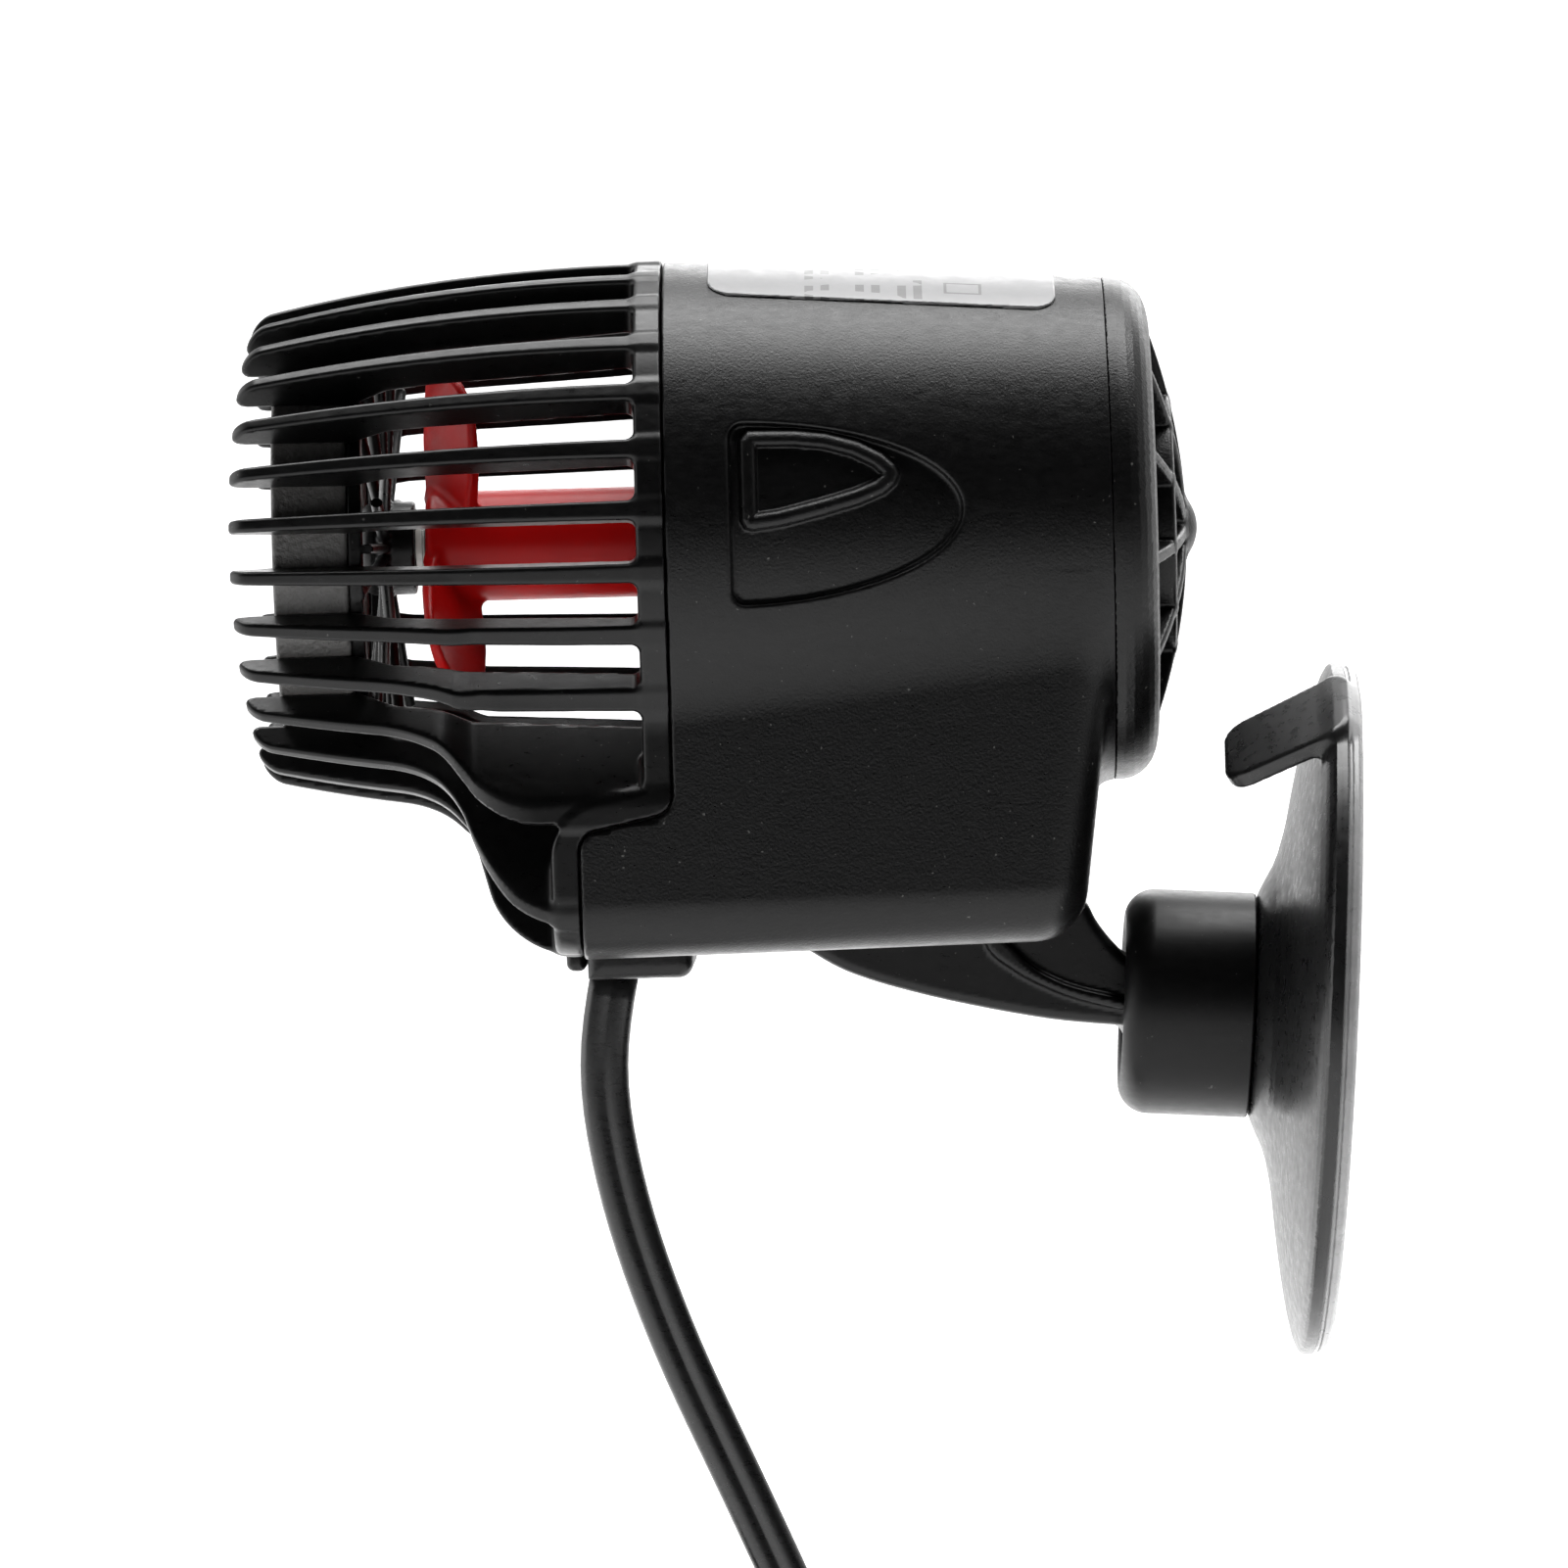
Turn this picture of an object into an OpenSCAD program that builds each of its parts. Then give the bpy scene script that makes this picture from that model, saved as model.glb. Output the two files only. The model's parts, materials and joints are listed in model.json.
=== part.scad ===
// Wave maker pump: a small propeller pump on a suction cup, for an aquarium wall.
// Row frame: origin in the middle of the suction face, +X into the wall, +Z up.
// The pump itself is drawn in its own frame: origin on its axis at the seam between
// cage and housing, +X towards the rear grille. pump_pose() puts it on its ball.

/* [Pump placement] */
// Angle of the pump's axis above the suction cup's axis, degrees
pump_tilt = 4; // [0:1:6]
// Distance from the wall to the ball's centre
ball_to_wall = 11; // [11:0.5:13]
// Ball's place behind the seam, along the pump's axis
ball_x = 35; // [34:0.5:37]
// Ball's depth below the pump's axis
ball_drop = 33.3; // [33:0.1:34]

/* [Barrel and keel] */
// Barrel radius at the seam
barrel_front_r = 19.45; // [19:0.05:20]
// Barrel radius at its rear end
barrel_rear_r = 17.55; // [17:0.05:18]
// Barrel length from the seam to the rear ring
barrel_len = 30.5; // [30:0.5:31]
// Housing wall thickness
wall = 1.5; // [1.2:0.1:1.8]
// Half width of the keel
keel_half = 15.8; // [15:0.1:16]
// Depth of the keel's underside below the axis
keel_depth = 28.6; // [28:0.1:29]

/* [Cage] */
// Number of ribs round the cage
rib_count = 28; // [24:2:32]
// Rib thickness
rib_t = 1.1; // [0.9:0.1:1.3]
// Length of the cage from the seam to its front tips
cage_len = 29.9; // [29.5:0.1:31]
// Radius of the bow that sets the top and bottom tips back
bow_r = 97; // [85:1:150]
// Width of the fine gap along the seam
seam = 0.12; // [0.1:0.02:0.2]

/* [Outlet] */
// Outer radius of the outlet ring
ring_r = 14.4; // [14:0.1:14.4]
// Inner radius of the outlet ring
ring_bore_r = 12.7; // [12:0.1:13]
// Number of spokes in the spider wheel
spoke_count = 24; // [18:2:30]

/* [Rotor] */
// Shaft radius
shaft_r = 1.25; // [1.2:0.05:1.5]
// Running clearance on a radius
run_gap = 0.05; // [0.03:0.01:0.08]
// Magnet radius
magnet_r = 6.5; // [6:0.1:6.7]
// Magnet length
magnet_len = 16; // [12:1:16]
// Propeller hub radius
hub_r = 3.85; // [3.8:0.05:4]
// Propeller tip radius
prop_r = 12.8; // [12:0.1:13.2]
// Blade pitch from the plane of rotation, degrees
blade_pitch = 25; // [20:1:32]
// Number of blades
blade_count = 3; // [3:1:4]

/* [Suction cup] */
// Radius of the suction face
cup_r = 24.2; // [22:0.1:24.2]
// Width of the flat lip round the suction face
lip_w = 1.8; // [1:0.1:2.5]
// Ball radius
ball_r = 4.8; // [4.5:0.1:4.8]
// Collar radius
collar_r = 7.85; // [7.7:0.05:8]

/* [Cord and plug] */
// Width of the flat cord
cord_w = 3.4; // [3:0.1:3.6]
// Mean radius of the stored coil
coil_r = 20; // [18:0.5:20]
// Spacing of the plug's pins
pin_pitch = 19; // [19:1:19]
// Radius of the plug's pins
pin_r = 2; // [2:0.1:2.4]

/* [Hidden] */
$fn = 96;
eps = 0.02;
big = 60;
barrel_slope = (barrel_front_r - barrel_rear_r) / barrel_len;
spigot_r = 17.2;
spigot_len = 1.6;
keel_front = -6.4;
keel_roof = -19.5;
keel_rear = 28.3;
keel_corner = 4;
plate_t = 2.2;
well_r = 8.2;
well_bore_r = 7.2;
well_len = 26.9;
sleeve_r = 2.5;
bearing_r = 1.8;
hub_bore_r = 3.25;
core_front = 8;
core_rear = 22;
leg_in = 5.2;
leg_out = 9.8;
collar_front = -15.4;
collar_rear = -6.2;
stem_r = 5.4;
stem_head_r = 6.1;
cord_exit = [-4.8, 0, -30.25];
grommet_x = -2.3;
// Middle of the stored coil, and its section
coil_at = [-54.5, 0, -74];
coil_band = 10.2;
coil_thick = 8.4;
plug_at = [-62.5, 11.7, -100];
// Hand-set route of the hanging cord in the row frame, from the clamp to the coil
cord_route = [
    [-50.9, 0, 0.25], [-51.4, 0, -3], [-51.6, 0, -6], [-51.2, 0, -9], [-50.5, 0, -12],
    [-49.7, 0, -15], [-48.7, 0, -18], [-47.5, 0, -21], [-46.2, 0, -24], [-44.8, 0, -27],
    [-43.2, 0, -30], [-41.6, 0, -33], [-40.0, 0, -36], [-38.5, 0, -39], [-36.9, 0, -42],
    [-35.4, 0, -45], [-34.1, 0, -48], [-33.0, 0, -51], [-32.1, 0, -54], [-31.4, 0, -57],
    [-31.1, 0, -60], [-31.0, 0, -63]
];
// Hand-set route from the coil down and up into the plug
tail_route = [
    [-34.5, 3, -79], [-34.5, 5.2, -83], [-34.5, 8, -87], [-34.5, 10.4, -91], [-34.5, 11.5, -95],
    [-34.5, 11.7, -100], [-35.2, 11.7, -104.4], [-37.2, 11.7, -108.3], [-40.2, 11.7, -111.3],
    [-44.2, 11.7, -113.4], [-48.5, 11.7, -114], [-52.8, 11.7, -113.4], [-56.8, 11.7, -111.3],
    [-59.8, 11.7, -108.3], [-61.8, 11.7, -104.4], [-62.5, 11.7, -100]
];

// ---- helpers ----

// Pump frame to row frame
module pump_pose() {
    translate([-ball_to_wall, 0, 0]) rotate([0, -pump_tilt, 0])
        translate([-ball_x, 0, ball_drop]) children();
}

// Solid of revolution about X from [radius, x] points
module turned(profile) rotate([0, 90, 0]) rotate_extrude() polygon(profile);

// Tube along X
module pipe(r_out, r_in, x0, x1) turned([[r_in, x0], [r_out, x0], [r_out, x1], [r_in, x1]]);

// Plate standing in the XZ plane, from a 2D outline drawn as [x, z]
module side_plate(thickness)
    rotate([90, 0, 0]) linear_extrude(thickness, center = true) children();

// Bar along X, from a 2D outline drawn as [y, z]
module end_plate(x0, x1)
    translate([x0, 0, 0]) rotate([90, 0, 90]) linear_extrude(x1 - x0) children();

// Rectangle with round corners, from its low corner to its high corner
module rounded(low, high, r) {
    translate([low.x + r, low.y]) square([high.x - low.x - 2 * r, high.y - low.y]);
    translate([low.x, low.y + r]) square([high.x - low.x, high.y - low.y - 2 * r]);
    for (x = [low.x + r, high.x - r], y = [low.y + r, high.y - r]) translate([x, y]) circle(r);
}

module box(low, high) translate(low) cube(high - low);

// Round bar between two points
module rod(a, b, r) {
    d = b - a;
    translate(a) rotate([0, acos(d.z / norm(d)), atan2(d.y, d.x)]) cylinder(r = r, h = norm(d));
}

function unit(v) = v / norm(v);
function heading(path, i) = unit(path[min(i + 1, len(path) - 1)] - path[max(i - 1, 0)]);

// Eight-sided tube swept along a route whose headings never point along Y
module swept(path, r) {
    sides = 8;
    n = len(path);
    points = [for (i = [0 : n - 1]) let (
            t = heading(path, i),
            u = unit(cross(t, [0, 1, 0])),
            v = cross(t, u))
        for (k = [0 : sides - 1])
            path[i] + r * (cos(360 * k / sides) * u + sin(360 * k / sides) * v)];
    faces = concat(
        [[for (k = [0 : sides - 1]) k]],
        [[for (k = [sides - 1 : -1 : 0]) (n - 1) * sides + k]],
        [for (i = [0 : n - 2], k = [0 : sides - 1]) let (j = (k + 1) % sides)
            [i * sides + k, (i + 1) * sides + k, (i + 1) * sides + j, i * sides + j]]);
    polyhedron(points, faces);
}

function barrel_r(x) = barrel_front_r - barrel_slope * x;

// ---- suction mount ----

// Rubber cup with its flat lip, stem pocket and pull tab
module suction_cup() color([0.07, 0.07, 0.075]) {
    difference() {
        turned([
            [0, collar_rear], [7.7, collar_rear], [9.5, -5.1], [11.8, -4.3], [14.5, -3.7],
            [16.8, -3.3], [20, -2.8], [22.5, -2.35], [cup_r - 0.3, -2.05], [cup_r, -1.75], [cup_r, 0],
            [cup_r - lip_w, 0], [cup_r - 4, -0.6], [16, -1.3], [8, -1.7], [0, -1.8]
        ]);
        // Pocket for the socket's stem, with an undercut for its head
        pipe(stem_r + run_gap, 0, collar_rear - 1, -4.7);
        pipe(stem_head_r + run_gap, 0, -4.7, -3.3);
    }
    pull_tab();
}

// Tongue on the rim, leaning in over the skirt
module pull_tab() {
    tab_w = 8.4;
    tab_t = 1.4;
    tab_len = 8.8;
    tab_lean = 31;
    rotate([27, 0, 0]) translate([-1.4, 0, 23.7]) rotate([0, 180 - tab_lean, 0]) hull() {
        translate([0, -tab_w / 2, -tab_t / 2]) cube([1, tab_w, tab_t]);
        for (y = [-1, 1]) translate([tab_len - 1.8, y * (tab_w / 2 - 1.8), -tab_t / 2])
            cylinder(r = 1.8, h = tab_t, $fn = 32);
    }
}

// Collar that turns on its stem in the cup and grips the ball
module ball_socket() color([0.05, 0.05, 0.055]) difference() {
    union() {
        turned([
            [0, collar_front], [collar_r - 1.2, collar_front], [collar_r - 0.35, collar_front + 0.35],
            [collar_r, collar_front + 1.2], [collar_r, collar_rear - 0.1], [0, collar_rear - 0.1]
        ]);
        pipe(stem_r, 0, collar_rear - 0.1, -4.6);
        turned([[0, -4.6], [stem_head_r, -4.6], [stem_r, -3.4], [0, -3.4]]);
    }
    translate([-ball_to_wall, 0, 0]) sphere(ball_r + run_gap + 0.03);
    // Flared mouth that lets the neck tilt
    turned([[0, -13.6], [4.1, -13.6], [5.7, collar_front], [5.7, collar_front - 1], [0, collar_front - 1]]);
}

// Fin under the keel, its neck and its ball
module mount_arm() color([0.06, 0.06, 0.065]) pump_pose() {
    side_plate(5.6) difference() {
        polygon([
            [8.5, -28.55], [13.9, -31.1], [17.9, -32.4], [22, -33.35], [26.1, -34.2], [30.6, -34.7],
            [31.4, -34.6], [31.4, -30], [30.9, -29.8], [29.8, -28.4], [28.9, -27.1], [28.4, -25.8],
            [27, -25.8], [25, -28], [24.3, -28.3], [23, -28.3]
        ]);
        // Round corner of the keel that it fits under
        translate([keel_rear - keel_corner, 4.4 - keel_depth]) circle(keel_corner + eps);
    }
    // Raised bead along both sides
    side_plate(6.6) polygon([
        [21.5, -29.4], [24, -31.2], [27, -32.6], [30.6, -33.6], [30.6, -32.8], [27, -31.7],
        [24.4, -30.4], [22.1, -28.6]
    ]);
    // Tongue that sits in the keel's slot
    box([12, -2, -28.7], [23, 2, -26.9]);
    rod([30.9, 0, -32.2], [ball_x, 0, -ball_drop], 2.2);
    translate([ball_x, 0, -ball_drop]) sphere(ball_r);
}

// ---- housing ----

// Keel outlines: side view, then end view, both set in by a wall thickness
module keel_side(inset) {
    low = -keel_depth + inset;
    front = keel_front + inset;
    seat = inset * plate_t / wall;
    polygon([
        [front, low], [keel_rear - keel_corner, low + 0.4], [keel_rear - inset, low + 4.4],
        [30.3 - inset, -9], [30.3 - inset, -7], [seat, -7],
        [seat, keel_roof - inset], [front, keel_roof - inset]
    ]);
    translate([keel_rear - keel_corner - inset / 2, low + 4.4]) circle(keel_corner - inset / 2);
}
module keel_end(inset)
    rounded([-keel_half + inset, -keel_depth - 0.1 + inset], [keel_half - inset, 0], 4 - inset / 2);

module keel(inset) intersection() {
    side_plate(2 * keel_half + 2) keel_side(inset);
    end_plate(keel_front - 1, barrel_len) keel_end(inset);
}

// Inside of the housing, shared with the resin that fills it
module motor_cavity(gap) {
    turned([
        [0, plate_t + gap], [barrel_r(plate_t) - wall - gap, plate_t + gap],
        [barrel_rear_r - wall - gap, barrel_len - 1.2], [0, barrel_len - 1.2]
    ]);
    keel(wall + gap);
}

// Outline of the thumb pad and of the smaller ring on it, drawn as [x, z]
module pad_outline() intersection() {
    polygon([for (a = [-90 : 10 : 90]) [4.5 + 15.8 * cos(a), 1.65 + 6.15 * sin(a)]]);
    rounded([4.5, -4.5], [22, 7.8], 1.2);
}
module grip_outline(inset) {
    polygon([
        [5.2 + inset, 6.6 - inset / 2], [6.2 + inset / 2, 7.45 - inset], [10.7, 7.05 - inset],
        [15.24 - inset / 3, 5.66 - inset], [15.13 - inset / 4, 2.61 + inset], [7.8, 0.55 + inset],
        [6 + inset / 2, 0.55 + inset], [5.2 + inset, 1.3 + inset / 2]
    ]);
    translate([14.7, 4.15]) circle(1.6 - inset);
}

module motor_housing() color([0.09, 0.09, 0.095]) pump_pose() {
    difference() {
        union() {
            turned([
                [0, 0], [barrel_front_r, 0], [barrel_rear_r, barrel_len], [0, barrel_len]
            ]);
            pipe(spigot_r, 0, -spigot_len, 0);
            keel(0);
        }
        pipe(16, 0, -spigot_len - 1, plate_t);
        motor_cavity(0);
        pipe(barrel_rear_r - wall, 0, barrel_len - 1.3, barrel_len + 1);
        // Thumb pads, one on each side
        difference() {
            side_plate(2 * big) pad_outline();
            turned([[0, -1], [barrel_r(-1) - 0.6, -1], [barrel_r(30) - 0.6, 30], [0, 30]]);
        }
        // Slot for the arm's tongue, and the cord's way in
        box([12 - eps, -2 - eps, -keel_depth - 1], [23 + eps, 2 + eps, -keel_depth + wall + 1]);
        translate([grommet_x, 0, -keel_depth - 1]) cylinder(r = 2.1, h = wall + 2);
    }
    // Raised ring on each thumb pad
    intersection() {
        side_plate(2 * big) difference() {
            grip_outline(0);
            grip_outline(0.8);
        }
        turned([
            [barrel_r(0) - 0.9, 0], [barrel_r(0) + 0.05, 0], [barrel_r(30) + 0.05, 30],
            [barrel_r(30) - 0.9, 30]
        ]);
    }
}

// Rear ring with the ribbed, domed vent
module rear_grille() color([0.09, 0.09, 0.095]) pump_pose() {
    dome = function (r) 36.05 - 0.0125 * r * r;
    seat_r = barrel_rear_r - wall - eps;
    turned([
        [13.6, 30.2], [seat_r, 30.2], [seat_r, barrel_len], [barrel_rear_r - 0.05, barrel_len],
        [17.45, 31.3], [17.1, 32.2], [16.5, 32.9], [15.7, 33.4], [14.8, 33.65], [14.1, 33.6],
        [13.6, 33.1]
    ]);
    pipe(9.3, 8.6, 31.2, dome(9));
    for (a = [9 : 30 : 339]) rotate([a, 0, 0])
        side_plate(1.1) polygon(concat(
            [[31.2, 2], [31.2, 14.2]], [for (r = [14.2 : -2 : 2.2]) [dome(r), r]], [[36, 2]]));
    turned([[0, 31], [3, 31], [3.1, 35.6], [2.5, 36.15], [1.5, 36.6], [0, 36.75]]);
}

// Thin sticker over the top of the barrel
module rating_label() color([0.8, 0.8, 0.8]) pump_pose() intersection() {
    translate([0, 0, 5]) linear_extrude(20) rounded([3.2, -9.4], [27.2, 9.4], 1.7);
    turned([
        [barrel_r(0), 0], [barrel_r(0) + 0.2, 0], [barrel_r(30) + 0.2, 30], [barrel_r(30), 30]
    ]);
}

// Foot bar under the seam, which clamps the cord where it leaves the keel
module cable_clamp() color([0.08, 0.08, 0.085]) pump_pose() difference() {
    translate([0, 0, cord_exit.z]) linear_extrude(-keel_depth - cord_exit.z - eps)
        rounded([keel_front, -8], [0.9, 8], 1.2);
    translate([grommet_x, 0, cord_exit.z + 0.5]) cylinder(r = 1.3, h = 2);
}

// Rubber seal round the cord inside the keel's underside
module cord_grommet() color([0.05, 0.05, 0.05]) pump_pose() translate([grommet_x, 0, 0])
    rotate_extrude() polygon([
        [1.3, -keel_depth], [2.1 - eps, -keel_depth], [2.1 - eps, -keel_depth + wall + 0.1],
        [2.5, -keel_depth + wall + 0.1], [2.5, -25.8], [1.3, -25.8]
    ]);

// ---- motor ----

// Can and front plate between the water and the windings
module rotor_well() color([0.12, 0.12, 0.13]) pump_pose() turned([
    [well_bore_r, 0], [15.9, 0], [15.9, 2], [well_r, 2], [well_r, well_len], [0, well_len],
    [0, 26.4], [2.2, 26.4], [2.2, 24.6], [well_bore_r, 24.6]
]);

// Laminated U core: yoke in the keel, two legs, and poles round the well
module stator_core() color([0.45, 0.45, 0.47]) pump_pose() difference() {
    union() {
        box([core_front, -12.4, -26.4], [core_rear, 12.4, -22]);
        for (side = [-1, 1]) scale([1, side, 1]) {
            box([core_front, leg_in, -22.5], [core_rear, leg_out, -8.9]);
            box([core_front, leg_in, -9], [core_rear, 12.6, 7.5]);
        }
    }
    translate([core_front - 1, 0, 0]) rotate([0, 90, 0]) cylinder(r = well_r + eps, h = 16);
}

// Coil former round one leg of the core
module bobbin(side) color([0.85, 0.82, 0.7]) pump_pose() scale([1, side, 1]) difference() {
    union() {
        box([7, 4.2, -21.8], [23, 10.8, -9.2]);
        for (z = [-21.8, -10]) box([5, 1.9, z], [25, 13, z + 0.8]);
    }
    box([core_front - eps, leg_in - eps, -30], [core_rear + eps, leg_out + eps, 0]);
}
module bobbin_left() bobbin(-1);
module bobbin_right() bobbin(1);

// Copper coil on one former
module winding(side) color([0.72, 0.4, 0.2]) pump_pose() scale([1, side, 1])
    translate([0, 0, -20.95]) linear_extrude(10.9) difference() {
        rounded([5.4, 2.3], [24.6, 12.7], 2);
        translate([7 - eps, 4.2 - eps]) square([16 + 2 * eps, 6.6 + 2 * eps]);
    }
module winding_left() winding(-1);
module winding_right() winding(1);

// The cord's two cores, from the grommet to the coils
module lead_wires() color([0.5, 0.25, 0.1]) pump_pose() for (side = [-1, 1]) {
    start = [grommet_x, side * 0.62, -28];
    corner = [grommet_x, side * 0.62, -23.6];
    finish = [6.6, side * 3.4, -22.4];
    rod(start, corner, 0.5);
    translate(corner) sphere(0.6);
    rod(corner, finish, 0.5);
}

// Cast resin that fills the housing round the motor
module potting_resin() color([0.1, 0.09, 0.08]) pump_pose() difference() {
    motor_cavity(eps);
    pipe(well_r + eps, 0, 0, well_len + eps);
    for (side = [-1, 1]) scale([1, side, 1]) {
        box([5 - eps, 1.9 - eps, -21.8 - eps], [25 + eps, 13 + eps, -9.2 + eps]);
        box([core_front - eps, leg_in - eps, -22], [core_rear + eps, 12.6 + eps, 7.5 + eps]);
    }
    box([core_front - eps, -12.4 - eps, -26.4 - eps], [core_rear + eps, 12.4 + eps, -22 + eps]);
    // Room for the leads, the grommet and the arm's tongue
    box([-4.95, -4.2, -27.2], [7.4, 4.2, -21.8]);
    box([12 - 2 * eps, -2 - 2 * eps, -27.2], [23 + 2 * eps, 2 + 2 * eps, -26.3]);
}

// ---- rotor and propeller ----

module shaft() color([0.9, 0.9, 0.88]) pump_pose() pipe(shaft_r, 0, -20.2, 26.2);
module rear_bush() color([0.1, 0.1, 0.1]) pump_pose() pipe(2.2 - eps, shaft_r, 24.6, 26.3);
module front_bush() color([0.1, 0.1, 0.1]) pump_pose() pipe(2.2, shaft_r + run_gap, -20.3, -17.8);
module thrust_washers() color([0.9, 0.9, 0.85]) pump_pose() for (x = [-17.7, 24.1])
    pipe(2.2, shaft_r, x, x + 0.4);

module rotor_magnet() color([0.3, 0.3, 0.32]) pump_pose()
    pipe(magnet_r, sleeve_r, 7, 7 + magnet_len);
module rotor_bearing() color([0.9, 0.9, 0.85]) pump_pose()
    pipe(bearing_r, shaft_r + run_gap, -17.2, 24);

// Plastic sleeve that joins magnet and bearing, with the dog that drives the hub
module rotor_sleeve() color([0.15, 0.15, 0.16]) pump_pose() {
    pipe(sleeve_r, bearing_r, -17.1, 24);
    for (x = [6, 23 + eps]) pipe(5.6, bearing_r, x, x + 0.95);
    drive_sector(sleeve_r - eps, hub_bore_r - 0.1, 180);
}

// Block 40 degrees wide between two radii, standing at an angle from +Z
module drive_sector(r_in, r_out, angle) rotate([angle, 0, 0]) intersection() {
    pipe(r_out, r_in, -12, -4);
    side = 5 * tan(20);
    end_plate(-13, -3) polygon([[0, 0], [side, 5], [-side, 5]]);
}

// Hub and blades in one moulding; the block inside the hub meets the rotor's dog
module propeller() color([0.62, 0.04, 0.04]) pump_pose() {
    turned([
        [sleeve_r + run_gap, -17], [3.3, -17], [hub_r, -16.2], [hub_r, 3], [sleeve_r + run_gap, 3],
        [sleeve_r + run_gap, 1.6], [hub_bore_r, 1.6], [hub_bore_r, -13.4],
        [sleeve_r + run_gap, -13.4]
    ]);
    drive_sector(sleeve_r + 0.1, hub_bore_r + eps, 0);
    for (i = [0 : blade_count - 1]) rotate([16 + i * 360 / blade_count, 0, 0]) blade();
}

// One blade, standing up along Z
module blade() {
    blade_t = 1;
    intersection() {
        translate([-15, 0, 0]) rotate([0, 0, 90 + blade_pitch]) rotate([90, 0, 0])
            translate([0, 0, -blade_t / 2]) linear_extrude(blade_t) {
                polygon([[-2.6, 3.4], [-3.9, 7], [-4.2, 9.5], [4.2, 9.5], [3.9, 7], [2.6, 3.4]]);
                rounded([-4.2, 8.5], [4.2, prop_r], 2.4);
            }
        pipe(prop_r, hub_bore_r + 0.2, -25, -5);
    }
}

// ---- cage ----

function cage_r(x) = barrel_front_r - 2.95 * pow(-x / 28, 2.2);

// Round cage body, with its front bowed back towards the top and bottom
module cage_body() intersection() {
    turned(concat([[0, -32]], [for (x = [-31, -28, -25, -22, -18, -14, -9, -4, -seam]) [cage_r(x), x]],
        [[0, -seam]]));
    side_plate(50) translate([bow_r - cage_len, 0]) circle(bow_r);
}

// Outline of the chin in side view
module chin_side() polygon([
    [-15.6, -8], [-14.6, -18.2], [-14.2, -19.8], [-13.6, -22.7], [-12.6, -24.9], [-11.3, -26.5],
    [-10, -27.5], [-7.2, -28.2], [keel_front - seam, -28.4], [keel_front - seam, keel_roof + seam],
    [-seam, keel_roof + seam], [-seam, -8]
]);

// Solid chin that the ribs and the seam frame are cut from
module chin_block() intersection() {
    side_plate(40) chin_side();
    translate([0, 0, -35]) linear_extrude(40) rounded([-15.6, -16], [8, 16], 5);
    end_plate(-20, 5) rounded([-16, -28.6], [16, 8], 4);
}

// Room inside the cage for the propeller and the outlet ring
module cage_core() turned([
    [0, -33], [ring_r + 0.7, -33], [ring_r, -28.6], [ring_r, -21.4], [15.7, -19], [16.2, -15.7],
    [16.8, -8], [spigot_r + 0.1, -2.2], [spigot_r + 0.1, 1], [0, 1]
]);

// Plate that stands in a plane through the axis
module radial_plate(angle) rotate([-angle, 0, 0]) box([-32, -rib_t / 2, 14], [0, rib_t / 2, 34]);

// Frame along the seam: rear band, bar under the side window, and post in front of the keel
module seam_frame() difference() {
    union() {
        pipe(barrel_front_r, spigot_r + 0.1, -2.2, -seam);
        intersection() {
            chin_block();
            union() {
                box([-2.2, -17, -20], [0, 17, -8]);
                box([-15, -17, -20], [0, 17, -17.7]);
                box([-8.3, -17, -29], [-6, 17, -18]);
            }
        }
    }
    turned([[0, -25], [16.8, -25], [spigot_r + 0.1, -2.2], [spigot_r + 0.1, 1], [0, 1]]);
    box([-20, -13.8, -26.5], [1, 13.8, 0]);
}

// Ribs, seam frame and chin in one moulding
module front_cage() color([0.06, 0.06, 0.065]) pump_pose() {
    pitch = 360 / rib_count;
    difference() {
        intersection() {
            union() {
                cage_body();
                chin_block();
            }
            for (i = [0 : rib_count - 1]) radial_plate(pitch * (i + 0.5));
        }
        cage_core();
    }
    seam_frame();
    // Lug that hooks the cage to the foot bar
    side_plate(12) rounded([-7.9, -29.6], [keel_front - seam, -28], 0.7);
}

// Nozzle ring under the rib tips
module outlet_ring() color([0.06, 0.06, 0.065]) pump_pose() pipe(ring_r, ring_bore_r, -27, -21.8);

// Wheel of thin spokes with the boss that holds the shaft's front bush
module front_spider() color([0.06, 0.06, 0.065]) pump_pose() {
    pipe(ring_r, ring_bore_r, -21.8 + eps, -20.8);
    difference() {
        turned([[0, -21.6], [2.4, -21.6], [3.3, -20.9], [3.3, -17.8], [0, -17.8]]);
        pipe(2.2 + eps, 0, -20.3 - eps, -17);
    }
    for (i = [0 : spoke_count - 1]) rotate([i * 360 / spoke_count, 0, 0])
        box([-21.1, -0.35, 2.9], [-19, 0.35, ring_r - 0.3]);
}

// ---- cord and plug ----

module power_cord() color([0.04, 0.04, 0.04]) swept(cord_route, cord_w / 2);
module cord_tail() color([0.04, 0.04, 0.04]) swept(tail_route, cord_w / 2);

// Ring of the coil's section, grown by a margin, about Y
module coil_ring(grow) translate(coil_at) rotate([90, 0, 0]) rotate_extrude()
    rounded([coil_r - coil_band / 2 - grow, -coil_thick / 2 - grow],
        [coil_r + coil_band / 2 + grow, coil_thick / 2 + grow], 1.6);

module cord_coil() color([0.04, 0.04, 0.04]) coil_ring(0);

// Flat tie round the coil, at its top
module cord_tie() color([0.1, 0.1, 0.1]) difference() {
    intersection() {
        coil_ring(0.8);
        box(coil_at + [-2, -10, 10], coil_at + [2, 10, 30]);
    }
    coil_ring(eps);
}

// Two-pin plug with its tapered strain relief, pins up
module plug_body() color([0.05, 0.05, 0.05]) translate(plug_at) {
    cylinder(r1 = 2.5, r2 = 3.8, h = 10 + eps);
    translate([0, 0, 10]) linear_extrude(9) rounded([-8.5, -5.5], [8.5, 5.5], 4);
    translate([0, 0, 18.9]) linear_extrude(15) rounded([-13, -6.8], [13, 6.8], 5);
}

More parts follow.
